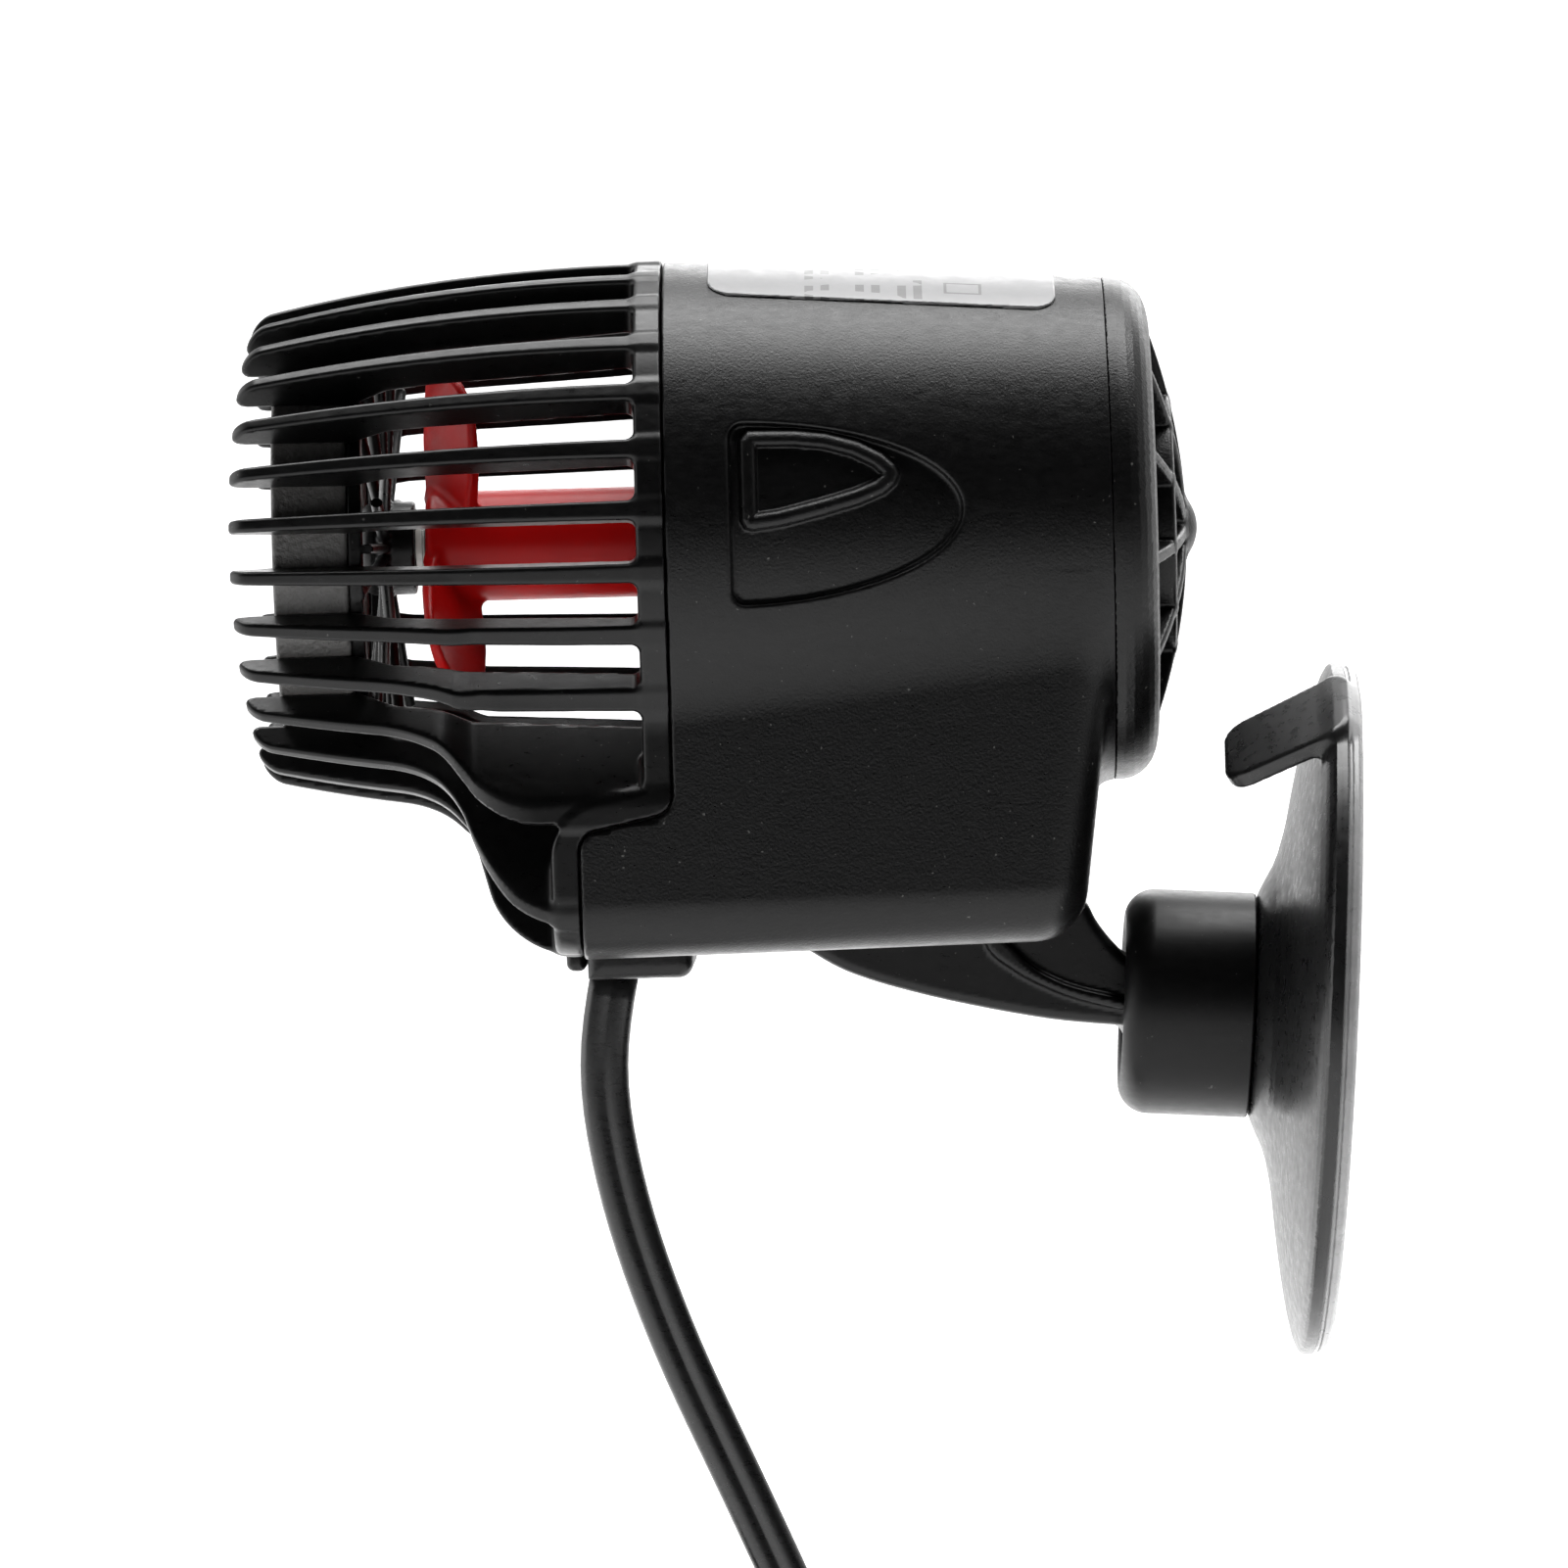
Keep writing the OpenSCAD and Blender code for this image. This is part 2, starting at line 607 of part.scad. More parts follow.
module plug_pins() color([0.75, 0.75, 0.75]) translate(plug_at + [0, 0, 33.9]) for (side = [-1, 1])
    translate([side * pin_pitch / 2, 0, eps]) {
        cylinder(r = pin_r, h = 18);
        translate([0, 0, 18]) cylinder(r1 = pin_r, r2 = pin_r * 0.55, h = 1);
    }

suction_cup();
ball_socket();
mount_arm();
motor_housing();
rear_grille();
rating_label();
rotor_well();
stator_core();
bobbin_left();
bobbin_right();
winding_left();
winding_right();
lead_wires();
potting_resin();
shaft();
rear_bush();
front_bush();
thrust_washers();
rotor_magnet();
rotor_bearing();
rotor_sleeve();
propeller();
front_cage();
outlet_ring();
front_spider();
cable_clamp();
cord_grommet();
power_cord();
cord_coil();
cord_tail();
cord_tie();
plug_body();
plug_pins();
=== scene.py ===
import json
import math

import bpy
import numpy as np
from mathutils import Matrix, Vector


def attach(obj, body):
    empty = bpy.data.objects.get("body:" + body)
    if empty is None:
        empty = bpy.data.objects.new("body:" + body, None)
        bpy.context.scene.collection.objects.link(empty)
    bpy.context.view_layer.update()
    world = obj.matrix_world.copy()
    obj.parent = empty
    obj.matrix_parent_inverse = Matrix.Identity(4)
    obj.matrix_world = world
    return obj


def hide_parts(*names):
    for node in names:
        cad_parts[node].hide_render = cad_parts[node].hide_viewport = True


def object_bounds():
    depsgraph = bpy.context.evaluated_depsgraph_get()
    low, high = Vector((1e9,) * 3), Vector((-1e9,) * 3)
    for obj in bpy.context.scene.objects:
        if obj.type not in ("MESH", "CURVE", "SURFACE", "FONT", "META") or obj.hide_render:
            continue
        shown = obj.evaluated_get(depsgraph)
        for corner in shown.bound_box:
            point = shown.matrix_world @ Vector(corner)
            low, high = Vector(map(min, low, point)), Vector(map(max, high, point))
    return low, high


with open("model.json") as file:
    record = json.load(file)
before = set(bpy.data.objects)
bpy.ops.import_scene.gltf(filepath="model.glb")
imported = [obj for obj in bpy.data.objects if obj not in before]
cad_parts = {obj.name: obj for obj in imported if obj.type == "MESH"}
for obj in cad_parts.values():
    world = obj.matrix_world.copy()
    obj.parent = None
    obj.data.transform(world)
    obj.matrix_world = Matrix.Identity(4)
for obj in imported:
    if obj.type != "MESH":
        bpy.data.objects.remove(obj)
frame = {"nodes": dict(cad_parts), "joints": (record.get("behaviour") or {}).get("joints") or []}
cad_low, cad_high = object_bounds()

MM = 0.001


# ---- frames ----

spin = next(j for j in frame["joints"] if j["name"] == "rotor_spin")
PUMP_AT = np.array(spin["pos_m"]) / MM
PUMP_X = np.array(spin["axis"]) / np.linalg.norm(spin["axis"])
PUMP_Y = np.array([0.0, 1.0, 0.0])
PUMP_Z = np.cross(PUMP_X, PUMP_Y)


def pump_to_row(p):
    """Pump frame (origin on the axis at the seam, +X to the rear) to row frame, in mm."""
    return PUMP_AT + p[:, :1] * PUMP_X + p[:, 1:2] * PUMP_Y + p[:, 2:3] * PUMP_Z


def as_is(p):
    """For the shapes that are drawn in the row frame."""
    return p


# ---- camera and light ----

scene = bpy.context.scene
scene.view_settings.view_transform = "Standard"

CAM_AT = Vector((-34, -650, 31.9)) * MM
CAM_AIM = Vector((-39.6, 0, 14.1)) * MM
CAM_UP = Vector((-0.0419, 0, 0.9991))
VIEW_WIDTH = 109.7 * MM

camera = bpy.data.objects.new("camera", bpy.data.cameras.new("camera"))
scene.collection.objects.link(camera)
scene.camera = camera
back = (CAM_AT - CAM_AIM).normalized()
right = CAM_UP.cross(back).normalized()
up = back.cross(right)
camera.matrix_world = Matrix.Translation(CAM_AT) @ Matrix((right, up, back)).transposed().to_4x4()
camera.data.sensor_width = 36
camera.data.lens = 36 * (CAM_AT - CAM_AIM).length / VIEW_WIDTH
camera.data.clip_start = 0.01
camera.data.clip_end = 20


def area_light(name, at, aim, size, power):
    light = bpy.data.lights.new(name, "AREA")
    light.shape = "RECTANGLE"
    light.size, light.size_y = size
    light.energy = power
    obj = bpy.data.objects.new(name, light)
    scene.collection.objects.link(obj)
    obj.location = at
    obj.rotation_mode = "QUATERNION"
    obj.rotation_quaternion = (Vector(aim) - Vector(at)).to_track_quat("-Z", "Y")
    return obj


area_light("top_light", (-0.04, 0.1, 0.62), (-0.04, 0, 0), (0.75, 0.4), 10)
area_light("rear_light", (0.1, 0.75, 0.4), (-0.04, 0, 0), (0.6, 0.4), 2.5)
area_light("left_light", (-0.6, 0.05, 0.05), (-0.04, 0, 0), (0.4, 0.5), 1.2)

world = bpy.data.worlds.new("studio")
scene.world = world
world.use_nodes = True
sky = world.node_tree.nodes
sky_links = world.node_tree.links
sky["Background"].inputs["Strength"].default_value = 1
facing = sky.new("ShaderNodeSeparateXYZ")
sky_links.new(sky.new("ShaderNodeTexCoord").outputs["Generated"], facing.inputs[0])
shade = sky.new("ShaderNodeMapRange")
sky_links.new(facing.outputs["Y"], shade.inputs["Value"])
shade.interpolation_type = "SMOOTHSTEP"
shade.inputs["From Min"].default_value = -0.45
shade.inputs["From Max"].default_value = 0.15
shade.inputs["To Min"].default_value = 0.012
shade.inputs["To Max"].default_value = 0.95
sky_links.new(shade.outputs["Result"], sky["Background"].inputs["Color"])


# ---- materials ----


class Nodes:
    """A material's node tree, with short calls for the nodes used here."""

    def __init__(self, name, colour, roughness, specular=0.5, metallic=0.0):
        self.material = bpy.data.materials.new(name)
        self.material.use_nodes = True
        self.tree = self.material.node_tree
        self.shader = self.tree.nodes["Principled BSDF"]
        self.material.diffuse_color = (*colour, 1)
        self.put("Base Color", (*colour, 1))
        self.put("Roughness", roughness)
        self.put("Specular IOR Level", specular)
        self.put("Metallic", metallic)
        self.coords = self.tree.nodes.new("ShaderNodeTexCoord").outputs["Object"]

    def put(self, socket, value):
        self.shader.inputs[socket].default_value = value

    def link(self, a, b):
        self.tree.links.new(a, b)

    def node(self, kind, **values):
        n = self.tree.nodes.new(kind)
        for key, value in values.items():
            setattr(n, key, value)
        return n

    def noise(self, scale, detail=3, roughness=0.55, stretch=None):
        n = self.node("ShaderNodeTexNoise")
        n.inputs["Scale"].default_value = scale
        n.inputs["Detail"].default_value = detail
        n.inputs["Roughness"].default_value = roughness
        if stretch is None:
            self.link(self.coords, n.inputs["Vector"])
        else:
            m = self.node("ShaderNodeMapping")
            m.inputs["Scale"].default_value = stretch
            self.link(self.coords, m.inputs["Vector"])
            self.link(m.outputs["Vector"], n.inputs["Vector"])
        return n.outputs["Fac"]

    def ramp(self, value, low, high, out_low=0.0, out_high=1.0):
        n = self.node("ShaderNodeMapRange")
        self.link(value, n.inputs["Value"])
        n.inputs["From Min"].default_value = low
        n.inputs["From Max"].default_value = high
        n.inputs["To Min"].default_value = out_low
        n.inputs["To Max"].default_value = out_high
        return n.outputs["Result"]

    def math(self, operation, a, b, c=0.0):
        n = self.node("ShaderNodeMath", operation=operation)
        for socket, value in zip(n.inputs, (a, b, c)):
            if isinstance(value, (int, float)):
                socket.default_value = value
            else:
                self.link(value, socket)
        return n.outputs[0]

    def mix(self, factor, a, b):
        n = self.node("ShaderNodeMix", data_type="RGBA")
        self.link(factor, n.inputs["Factor"])
        colour_inputs = [s for s in n.inputs if s.type == "RGBA"]
        for socket, value in zip(colour_inputs, (a, b)):
            if isinstance(value, tuple):
                socket.default_value = (*value, 1)
            else:
                self.link(value, socket)
        return [s for s in n.outputs if s.type == "RGBA"][0]

    def bump(self, height, strength, distance):
        n = self.node("ShaderNodeBump")
        n.inputs["Strength"].default_value = strength
        n.inputs["Distance"].default_value = distance
        self.link(height, n.inputs["Height"])
        self.link(n.outputs["Normal"], self.shader.inputs["Normal"])


def plastic(name, colour, rough, specular, grain, depth, spread=0.08, dust=0.0):
    """Moulded plastic: spark-eroded grain, patchy gloss and a trace of dust or scuffs."""
    m = Nodes(name, colour, rough, specular)
    fine = m.noise(grain, 2, 0.6)
    broad = m.noise(90, 3, 0.6)
    scuffs = m.noise(900, 4, 0.7, (1, 1, 3))
    tone = m.ramp(broad, 0.3, 0.7, 0.0, 1.0)
    dark = tuple(c * 0.82 for c in colour)
    light = tuple(c * 1.25 for c in colour)
    base = m.mix(tone, dark, light)
    if dust:
        specks = m.ramp(m.noise(2600, 2, 0.5), 0.735, 0.77, 0.0, dust)
        base = m.mix(specks, base, (0.25, 0.25, 0.24))
    m.link(base, m.shader.inputs["Base Color"])
    patch = m.ramp(scuffs, 0.3, 0.75, rough - spread, rough + spread)
    m.link(patch, m.shader.inputs["Roughness"])
    m.bump(fine, 0.6, depth)
    return m.material


def banded(name, dark, light, rough, metallic, axis, period, depth):
    """Fine parallel lines along one axis, such as wound wire or stacked sheet."""
    m = Nodes(name, light, rough, 0.5, metallic)
    lines = m.node("ShaderNodeTexWave", bands_direction=axis)
    # Blender's wave repeats every 2 pi / 20 units at scale 1
    lines.inputs["Scale"].default_value = 2 * math.pi / 20 / period
    lines.inputs["Distortion"].default_value = 0.15
    m.link(m.coords, lines.inputs["Vector"])
    tone = m.math("MULTIPLY", lines.outputs["Fac"], m.ramp(m.noise(700, 3), 0.3, 0.7, 0.7, 1.0))
    m.link(m.mix(tone, dark, light), m.shader.inputs["Base Color"])
    m.link(m.ramp(m.noise(1500, 3), 0.3, 0.7, rough - 0.08, rough + 0.08), m.shader.inputs["Roughness"])
    m.bump(lines.outputs["Fac"], 0.6, depth)
    return m.material


MATTE = plastic("matte_black", (0.0016, 0.0016, 0.0017), 0.35, 0.2, 5200, 0.000045, dust=0.25)
SATIN = plastic("satin_black", (0.0016, 0.0016, 0.0017), 0.34, 0.21, 3500, 0.000012, dust=0.15)
GLOSS = plastic("gloss_black", (0.0018, 0.0018, 0.0019), 0.38, 0.15, 1500, 0.000008, 0.06, dust=0.15)
TEXTURED = plastic("textured_black", (0.06, 0.058, 0.056), 0.5, 0.5, 2100, 0.00022)
CORD = plastic("cord_pvc", (0.004, 0.004, 0.0042), 0.3, 0.42, 1600, 0.000012, 0.06)
RED = plastic("red_plastic", (0.36, 0.002, 0.002), 0.36, 0.16, 1500, 0.00001, 0.05)
RED.node_tree.nodes["Principled BSDF"].inputs["Subsurface Weight"].default_value = 0.06
RED.node_tree.nodes["Principled BSDF"].inputs["Subsurface Radius"].default_value = (0.002, 0.0004, 0.0004)
TIE = plastic("tie_plastic", (0.012, 0.012, 0.012), 0.4, 0.5, 2500, 0.00001)
PLUG = plastic("plug_plastic", (0.009, 0.009, 0.009), 0.42, 0.5, 3200, 0.00002)
WELL = plastic("well_plastic", (0.02, 0.02, 0.022), 0.4, 0.5, 2600, 0.00001)
BOBBIN = plastic("bobbin_nylon", (0.72, 0.66, 0.5), 0.4, 0.5, 1800, 0.00001)
LEAD = plastic("lead_insulation", (0.16, 0.06, 0.02), 0.35, 0.5, 1500, 0.000005)
RESIN = plastic("potting_resin", (0.03, 0.024, 0.02), 0.25, 0.5, 500, 0.00008, 0.1)
CERAMIC = plastic("ceramic", (0.78, 0.77, 0.73), 0.18, 0.5, 3000, 0.000002, 0.05)
BUSH = plastic("bush_rubber", (0.012, 0.012, 0.012), 0.6, 0.4, 2600, 0.00003)
FERRITE = plastic("ferrite", (0.05, 0.05, 0.055), 0.45, 0.6, 3800, 0.00003)
COPPER = banded("copper_wire", (0.2, 0.06, 0.02), (0.78, 0.35, 0.16), 0.3, 1.0, "Z", 0.00032, 0.0001)
LAMINATIONS = banded("laminations", (0.1, 0.1, 0.11), (0.42, 0.42, 0.44), 0.4, 1.0, "X", 0.0005, 0.00005)
PIN = plastic("pin_nickel", (0.62, 0.6, 0.56), 0.22, 0.5, 2400, 0.000002, 0.07)
PIN.node_tree.nodes["Principled BSDF"].inputs["Metallic"].default_value = 1.0


def cup_rubber():
    """Black rubber; its thin suction lip gets a pale base colour, painted light that stands in for light
    shining through the lip.
    """
    m = Nodes("cup_rubber", (0.004, 0.004, 0.0042), 0.3, 0.34)
    split = m.node("ShaderNodeSeparateXYZ")
    m.link(m.coords, split.inputs[0])
    radius = m.node("ShaderNodeVectorMath", operation="LENGTH")
    flat = m.node("ShaderNodeVectorMath", operation="MULTIPLY")
    m.link(m.coords, flat.inputs[0])
    flat.inputs[1].default_value = (0, 1, 1)
    m.link(flat.outputs["Vector"], radius.inputs[0])
    near_wall = m.ramp(split.outputs["X"], -0.00108, -0.00098)
    thin = m.ramp(radius.outputs["Value"], 0.019, 0.0225)
    glow_lip = m.math("MULTIPLY", near_wall, thin)
    cloudy = m.ramp(m.noise(260, 4, 0.6), 0.3, 0.7)
    black = m.mix(cloudy, (0.003, 0.003, 0.0032), (0.006, 0.006, 0.0062))
    # Painted light: the pale colour on the thin lip stands in for light shining through the rubber
    painted_glow = m.mix(cloudy, (0.17, 0.17, 0.171), (0.24, 0.24, 0.241))
    m.link(m.mix(glow_lip, black, painted_glow), m.shader.inputs["Base Color"])
    m.link(m.ramp(m.noise(1400, 3), 0.3, 0.7, 0.25, 0.36), m.shader.inputs["Roughness"])
    m.bump(m.noise(1100, 2), 0.5, 0.00001)
    return m.material


def label_film():
    """Silver-grey printed film with plain bars and an outlined box, and no lettering."""
    m = Nodes("label_film", (0.26, 0.26, 0.265), 0.38, 0.5)
    along = m.node("ShaderNodeVectorMath", operation="DOT_PRODUCT")
    m.link(m.coords, along.inputs[0])
    along.inputs[1].default_value = tuple(PUMP_X)
    x = m.math("SUBTRACT", along.outputs["Value"], float(PUMP_AT @ PUMP_X) * MM)
    split = m.node("ShaderNodeSeparateXYZ")
    m.link(m.coords, split.inputs[0])
    y = split.outputs["Y"]
    dashes = m.math("GREATER_THAN", m.noise(900, 1, 0.4, (0.15, 1, 0.15)), 0.5)

    def bar(at, half):
        return m.math("COMPARE", x, at, half)

    ink = None
    for at in (0.0102, 0.0113, 0.0137, 0.0148, 0.0166, 0.0177):
        one = m.math("MULTIPLY", bar(at, 0.0003), dashes)
        ink = one if ink is None else m.math("MAXIMUM", ink, one)
    outer = m.math("MULTIPLY", bar(0.0208, 0.0013), m.math("COMPARE", y, -0.0073, 0.0009))
    inner = m.math("MULTIPLY", bar(0.0208, 0.0011), m.math("COMPARE", y, -0.0073, 0.0007))
    ink = m.math("MAXIMUM", ink, m.math("SUBTRACT", outer, inner))
    film = m.mix(m.ramp(m.noise(120, 3), 0.3, 0.7), (0.135, 0.135, 0.137), (0.15, 0.15, 0.152))
    m.link(m.mix(ink, film, (0.05, 0.05, 0.05)), m.shader.inputs["Base Color"])
    m.link(m.ramp(m.noise(800, 2), 0.3, 0.7, 0.32, 0.44), m.shader.inputs["Roughness"])
    m.bump(m.noise(300, 2), 0.4, 0.00001)
    return m.material


RUBBER = cup_rubber()
LABEL = label_film()

for node, material in {
    "rotor_well": WELL, "rotor_sleeve": WELL, "stator_core": LAMINATIONS,
    "bobbin_left": BOBBIN, "bobbin_right": BOBBIN, "winding_left": COPPER, "winding_right": COPPER,
    "lead_wires": LEAD, "potting_resin": RESIN, "shaft": CERAMIC, "rotor_bearing": CERAMIC,
    "thrust_washers": CERAMIC, "rear_bush": BUSH, "front_bush": BUSH, "cord_grommet": BUSH,
    "rotor_magnet": FERRITE,
}.items():
    kept = frame["nodes"][node]
    kept.data.materials.clear()
    kept.data.materials.append(material)


# ---- shapes ----
# A shape is a function of x, y, z arrays, in mm: negative inside, zero on the surface.


def lap(a, b, r):
    """Where both shapes are, with edge radius r."""
    return np.minimum(-r, np.maximum(a, b)) + np.hypot(np.maximum(a + r, 0), np.maximum(b + r, 0))


def join(a, b, r):
    """Both shapes in one, with a fillet of radius r between them."""
    return -lap(-a, -b, r)


def melt(a, b, k):
    """Both shapes in one, smoothly, for surfaces that meet at a shallow angle."""
    h = np.maximum(k - np.abs(a - b), 0)
    return np.minimum(a, b) - h * h / (4 * k)


def step(t):
    """Smooth step from 0 to 1."""
    t = np.clip(t, 0, 1)
    return t * t * (3 - 2 * t)


def outline(points, u, v):
    """Distance to a closed polygon, negative inside."""
    best = np.full(np.shape(u), 1e9)
    inside = np.zeros(np.shape(u), bool)
    n = len(points)
    for i in range(n):
        (au, av), (bu, bv) = points[i], points[(i + 1) % n]
        du, dv = bu - au, bv - av
        t = np.clip(((u - au) * du + (v - av) * dv) / (du * du + dv * dv), 0, 1)
        best = np.minimum(best, (u - au - t * du) ** 2 + (v - av - t * dv) ** 2)
        if av != bv:
            inside ^= ((av > v) != (bv > v)) & (u < du * (v - av) / dv + au)
    return np.where(inside, -1, 1) * np.sqrt(best)


def block(u, v, half_u, half_v, r):
    """Rectangle with round corners, about the origin."""
    qu, qv = np.abs(u) - half_u + r, np.abs(v) - half_v + r
    return np.hypot(np.maximum(qu, 0), np.maximum(qv, 0)) + np.minimum(np.maximum(qu, qv), 0) - r


def spaced(*spans):
    """Grid coordinates from (start, step) pairs and a last end."""
    parts = []
    for (a, s), nxt in zip(spans[:-1], spans[1:]):
        b = nxt[0] if isinstance(nxt, tuple) else nxt
        parts.append(np.linspace(a, b, max(1, round((b - a) / s)), endpoint=False))
    return np.append(np.concatenate(parts), spans[-1])


def straight(a, b, c):
    return a, b, c


def round_x(x, angle, r):
    """Grid about the X axis: angle 0 points along +Z."""
    return x, r * np.sin(angle), r * np.cos(angle)


# How build() brings its points onto the surface, in mm
SLOPE_STEP = 0.004
PULLS = 3
LONGEST_PULL = 0.25


def build(name, shape, axes, place=straight, wrap=False, to_row=pump_to_row, mats=(SATIN,)):
    """Closed mesh of a shape: one corner per grid cell that the surface crosses, pulled onto it."""
    a, b, c = axes
    d = np.empty((len(a), len(b), len(c)))
    pos = np.empty((len(a), len(b), len(c), 3))
    B, C = np.meshgrid(b, c, indexing="ij")
    for i, value in enumerate(a):
        x, y, z = place(np.full(B.shape, value), B, C)
        pos[i, ..., 0], pos[i, ..., 1], pos[i, ..., 2] = x, y, z
        d[i] = shape(x, y, z)
    if wrap:
        d = np.concatenate([d, d[:, :1]], 1)
        pos = np.concatenate([pos, pos[:, :1]], 1)
    na, nb, nc = d.shape
    cells = np.array([na - 1, nb - 1, nc - 1])
    total = int(cells.prod())
    sums = np.zeros((total, 3))
    hits = np.zeros(total)
    quads = []
    for axis in range(3):
        lo = [slice(None)] * 3
        hi = [slice(None)] * 3
        lo[axis], hi[axis] = slice(None, -1), slice(1, None)
        d0, d1 = d[tuple(lo)], d[tuple(hi)]
        cross = (d0 < 0) != (d1 < 0)
        if wrap and axis != 1:
            cross[:, -1] = False
        idx = np.argwhere(cross)
        v0, v1 = d0[cross], d1[cross]
        t = (v0 / (v0 - v1))[:, None]
        p = pos[tuple(lo)][cross] * (1 - t) + pos[tuple(hi)][cross] * t
        others = [k for k in range(3) if k != axis]
        ring = []
        for s0, s1 in ((-1, -1), (0, -1), (0, 0), (-1, 0)):
            cell = idx.copy()
            cell[:, others[0]] += s0
            cell[:, others[1]] += s1
            if wrap:
                cell[:, 1] %= cells[1]
            ok = ((cell >= 0) & (cell < cells)).all(1)
            flat = (cell[:, 0] * cells[1] + cell[:, 1]) * cells[2] + cell[:, 2]
            flat[~ok] = -1
            for k in range(3):
                sums[:, k] += np.bincount(flat[ok], weights=p[ok, k], minlength=total)
            hits += np.bincount(flat[ok], minlength=total)
            ring.append(flat)
        quad = np.stack(ring, 1)
        flip = (v0 < 0) != (axis == 1)
        quad[~flip] = quad[~flip][:, ::-1]
        quads.append(quad[(quad >= 0).all(1)])
    quads = np.concatenate(quads)
    used = np.unique(quads)
    index = np.full(total, -1)
    index[used] = np.arange(len(used))
    points = sums[used] / hits[used, None]
    quads = index[quads]

    def slope(p):
        return np.stack([
            (shape(*(p + e).T) - shape(*(p - e).T)) / (2 * SLOPE_STEP) for e in SLOPE_STEP * np.eye(3)], 1)

    for _ in range(PULLS):
        g = slope(points)
        move = -g * (shape(*points.T) / np.maximum((g * g).sum(1), 0.05))[:, None]
        size = np.linalg.norm(move, axis=1, keepdims=True)
        points = points + move * np.minimum(1, LONGEST_PULL / np.maximum(size, 1e-9))
    normals = slope(points)
    normals /= np.maximum(np.linalg.norm(normals, axis=1, keepdims=True), 1e-9)
    # Turn the faces outwards
    corner = points[quads]
    face = np.cross(corner[:, 2] - corner[:, 0], corner[:, 3] - corner[:, 1])
    if ((face * normals[quads].mean(1)).sum(1) < 0).mean() > 0.5:
        quads = quads[:, ::-1]
    base = to_row(np.zeros((1, 3)))
    normals = to_row(normals) - base
    return to_object(name, to_row(points), quads, mats, normals)


def to_object(name, points, faces, mats, normals=None):
    """Object with smooth faces, from points in mm and an array of quads or a list of faces."""
    mesh = bpy.data.meshes.new(name)
    if isinstance(faces, np.ndarray):
        width = faces.shape[1]
        mesh.vertices.add(len(points))
        mesh.vertices.foreach_set("co", (np.asarray(points) * MM).astype(np.float32).ravel())
        mesh.loops.add(faces.size)
        mesh.loops.foreach_set("vertex_index", faces.astype(np.int32).ravel())
        mesh.polygons.add(len(faces))
        mesh.polygons.foreach_set("loop_start", np.arange(0, faces.size, width, dtype=np.int32))
        mesh.update(calc_edges=True)
        mesh.validate()
    else:
        mesh.from_pydata([tuple(p * MM) for p in np.asarray(points, float)], [], [tuple(f) for f in faces])
        mesh.validate()
    mesh.polygons.foreach_set("use_smooth", [True] * len(mesh.polygons))
    for m in mats:
        mesh.materials.append(m)
    if normals is not None and len(normals) == len(mesh.vertices):
        mesh.normals_split_custom_set_from_vertices([tuple(n) for n in normals])
    obj = bpy.data.objects.new(name, mesh)
    scene.collection.objects.link(obj)
    return obj


def settle(obj, body, slot, *nodes):
    """Ties a piece to its body and hides the CAD nodes that it stands for. The slot argument is not used.
    """
    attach(obj, body)
    if nodes:
        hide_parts(*nodes)
    return obj


# ---- cord: a flat twin lead from the clamp to the plug, wound for storage in one coil ----

CORD_W = 3.4
CORD_T = 2.0
CORD_EXIT = (-50.9, 0, 0.25)
HANG = [
    CORD_EXIT, (-51.4, 0, -3), (-51.6, 0, -6), (-51.2, 0, -9), (-50.5, 0, -12),
    (-49.7, 0, -15), (-48.7, 0, -18), (-47.5, 0, -21), (-46.2, 0, -24), (-44.8, 0, -27),
    (-43.2, 0, -30), (-41.6, 0, -33), (-40.0, 0, -36), (-38.5, 0, -39), (-36.9, 0, -42),
    (-35.4, 0, -45), (-34.1, 0, -48), (-33.0, 0, -51), (-32.1, 0, -54), (-31.4, 0, -57),
    (-31.1, 0, -60), (-31.0, 0, -63),
]
TAIL = [
    (-34.5, 3, -79), (-34.5, 5.2, -83), (-34.5, 8, -87), (-34.5, 10.4, -91), (-34.5, 11.5, -95),
    (-34.5, 11.7, -100), (-35.2, 11.7, -104.4), (-37.2, 11.7, -108.3), (-40.2, 11.7, -111.3),
    (-44.2, 11.7, -113.4), (-48.5, 11.7, -114), (-52.8, 11.7, -113.4), (-56.8, 11.7, -111.3),
    (-59.8, 11.7, -108.3), (-61.8, 11.7, -104.4), (-62.5, 11.7, -100),
]
COIL_AT = (-54.5, 0, -74)
COIL_R = 20
# Each turn's radius and distance along Y from the coil's middle plane
TURNS = [
    (23.4, 1.05), (23.4, -1.05), (23.4, -3.15), (20, -3.15), (16.6, -3.15), (16.6, -1.05),
    (20, -1.05), (20, 1.05), (16.6, 1.05), (16.6, 3.15), (20, 3.15),
]
PER_TURN = 48
# Part of a turn after which the cord crosses to its next place
CROSSING = 0.82


def coil_points():
    """The stored cord's turns, each with a short crossing to the next one's place."""
    points = []
    n = len(TURNS) * PER_TURN
    for i in range(n + 1):
        turn = min(i // PER_TURN, len(TURNS) - 1)
        part = i / PER_TURN - turn
        after = TURNS[min(turn + 1, len(TURNS) - 1)]
        f = float(step((part - CROSSING) / (1 - CROSSING)))
        r = TURNS[turn][0] + f * (after[0] - TURNS[turn][0])
        y = TURNS[turn][1] + f * (after[1] - TURNS[turn][1])
        a = 2 * math.pi * i / PER_TURN
        points.append((COIL_AT[0] + r * math.cos(a), y, COIL_AT[2] - r * math.sin(a)))
    return points


def smooth_path(points, spacing, passes=6):
    """Evenly spaced path near the points, with its kinks taken out."""
    p = np.array(points, float)
    length = np.append(0, np.cumsum(np.linalg.norm(np.diff(p, axis=0), axis=1)))
    count = max(8, round(length[-1] / spacing))
    even = np.linspace(0, length[-1], count + 1)
    p = np.stack([np.interp(even, length, p[:, k]) for k in range(3)], 1)
    for _ in range(passes):
        p[1:-1] = (p[:-2] + 2 * p[1:-1] + p[2:]) / 4
    return p


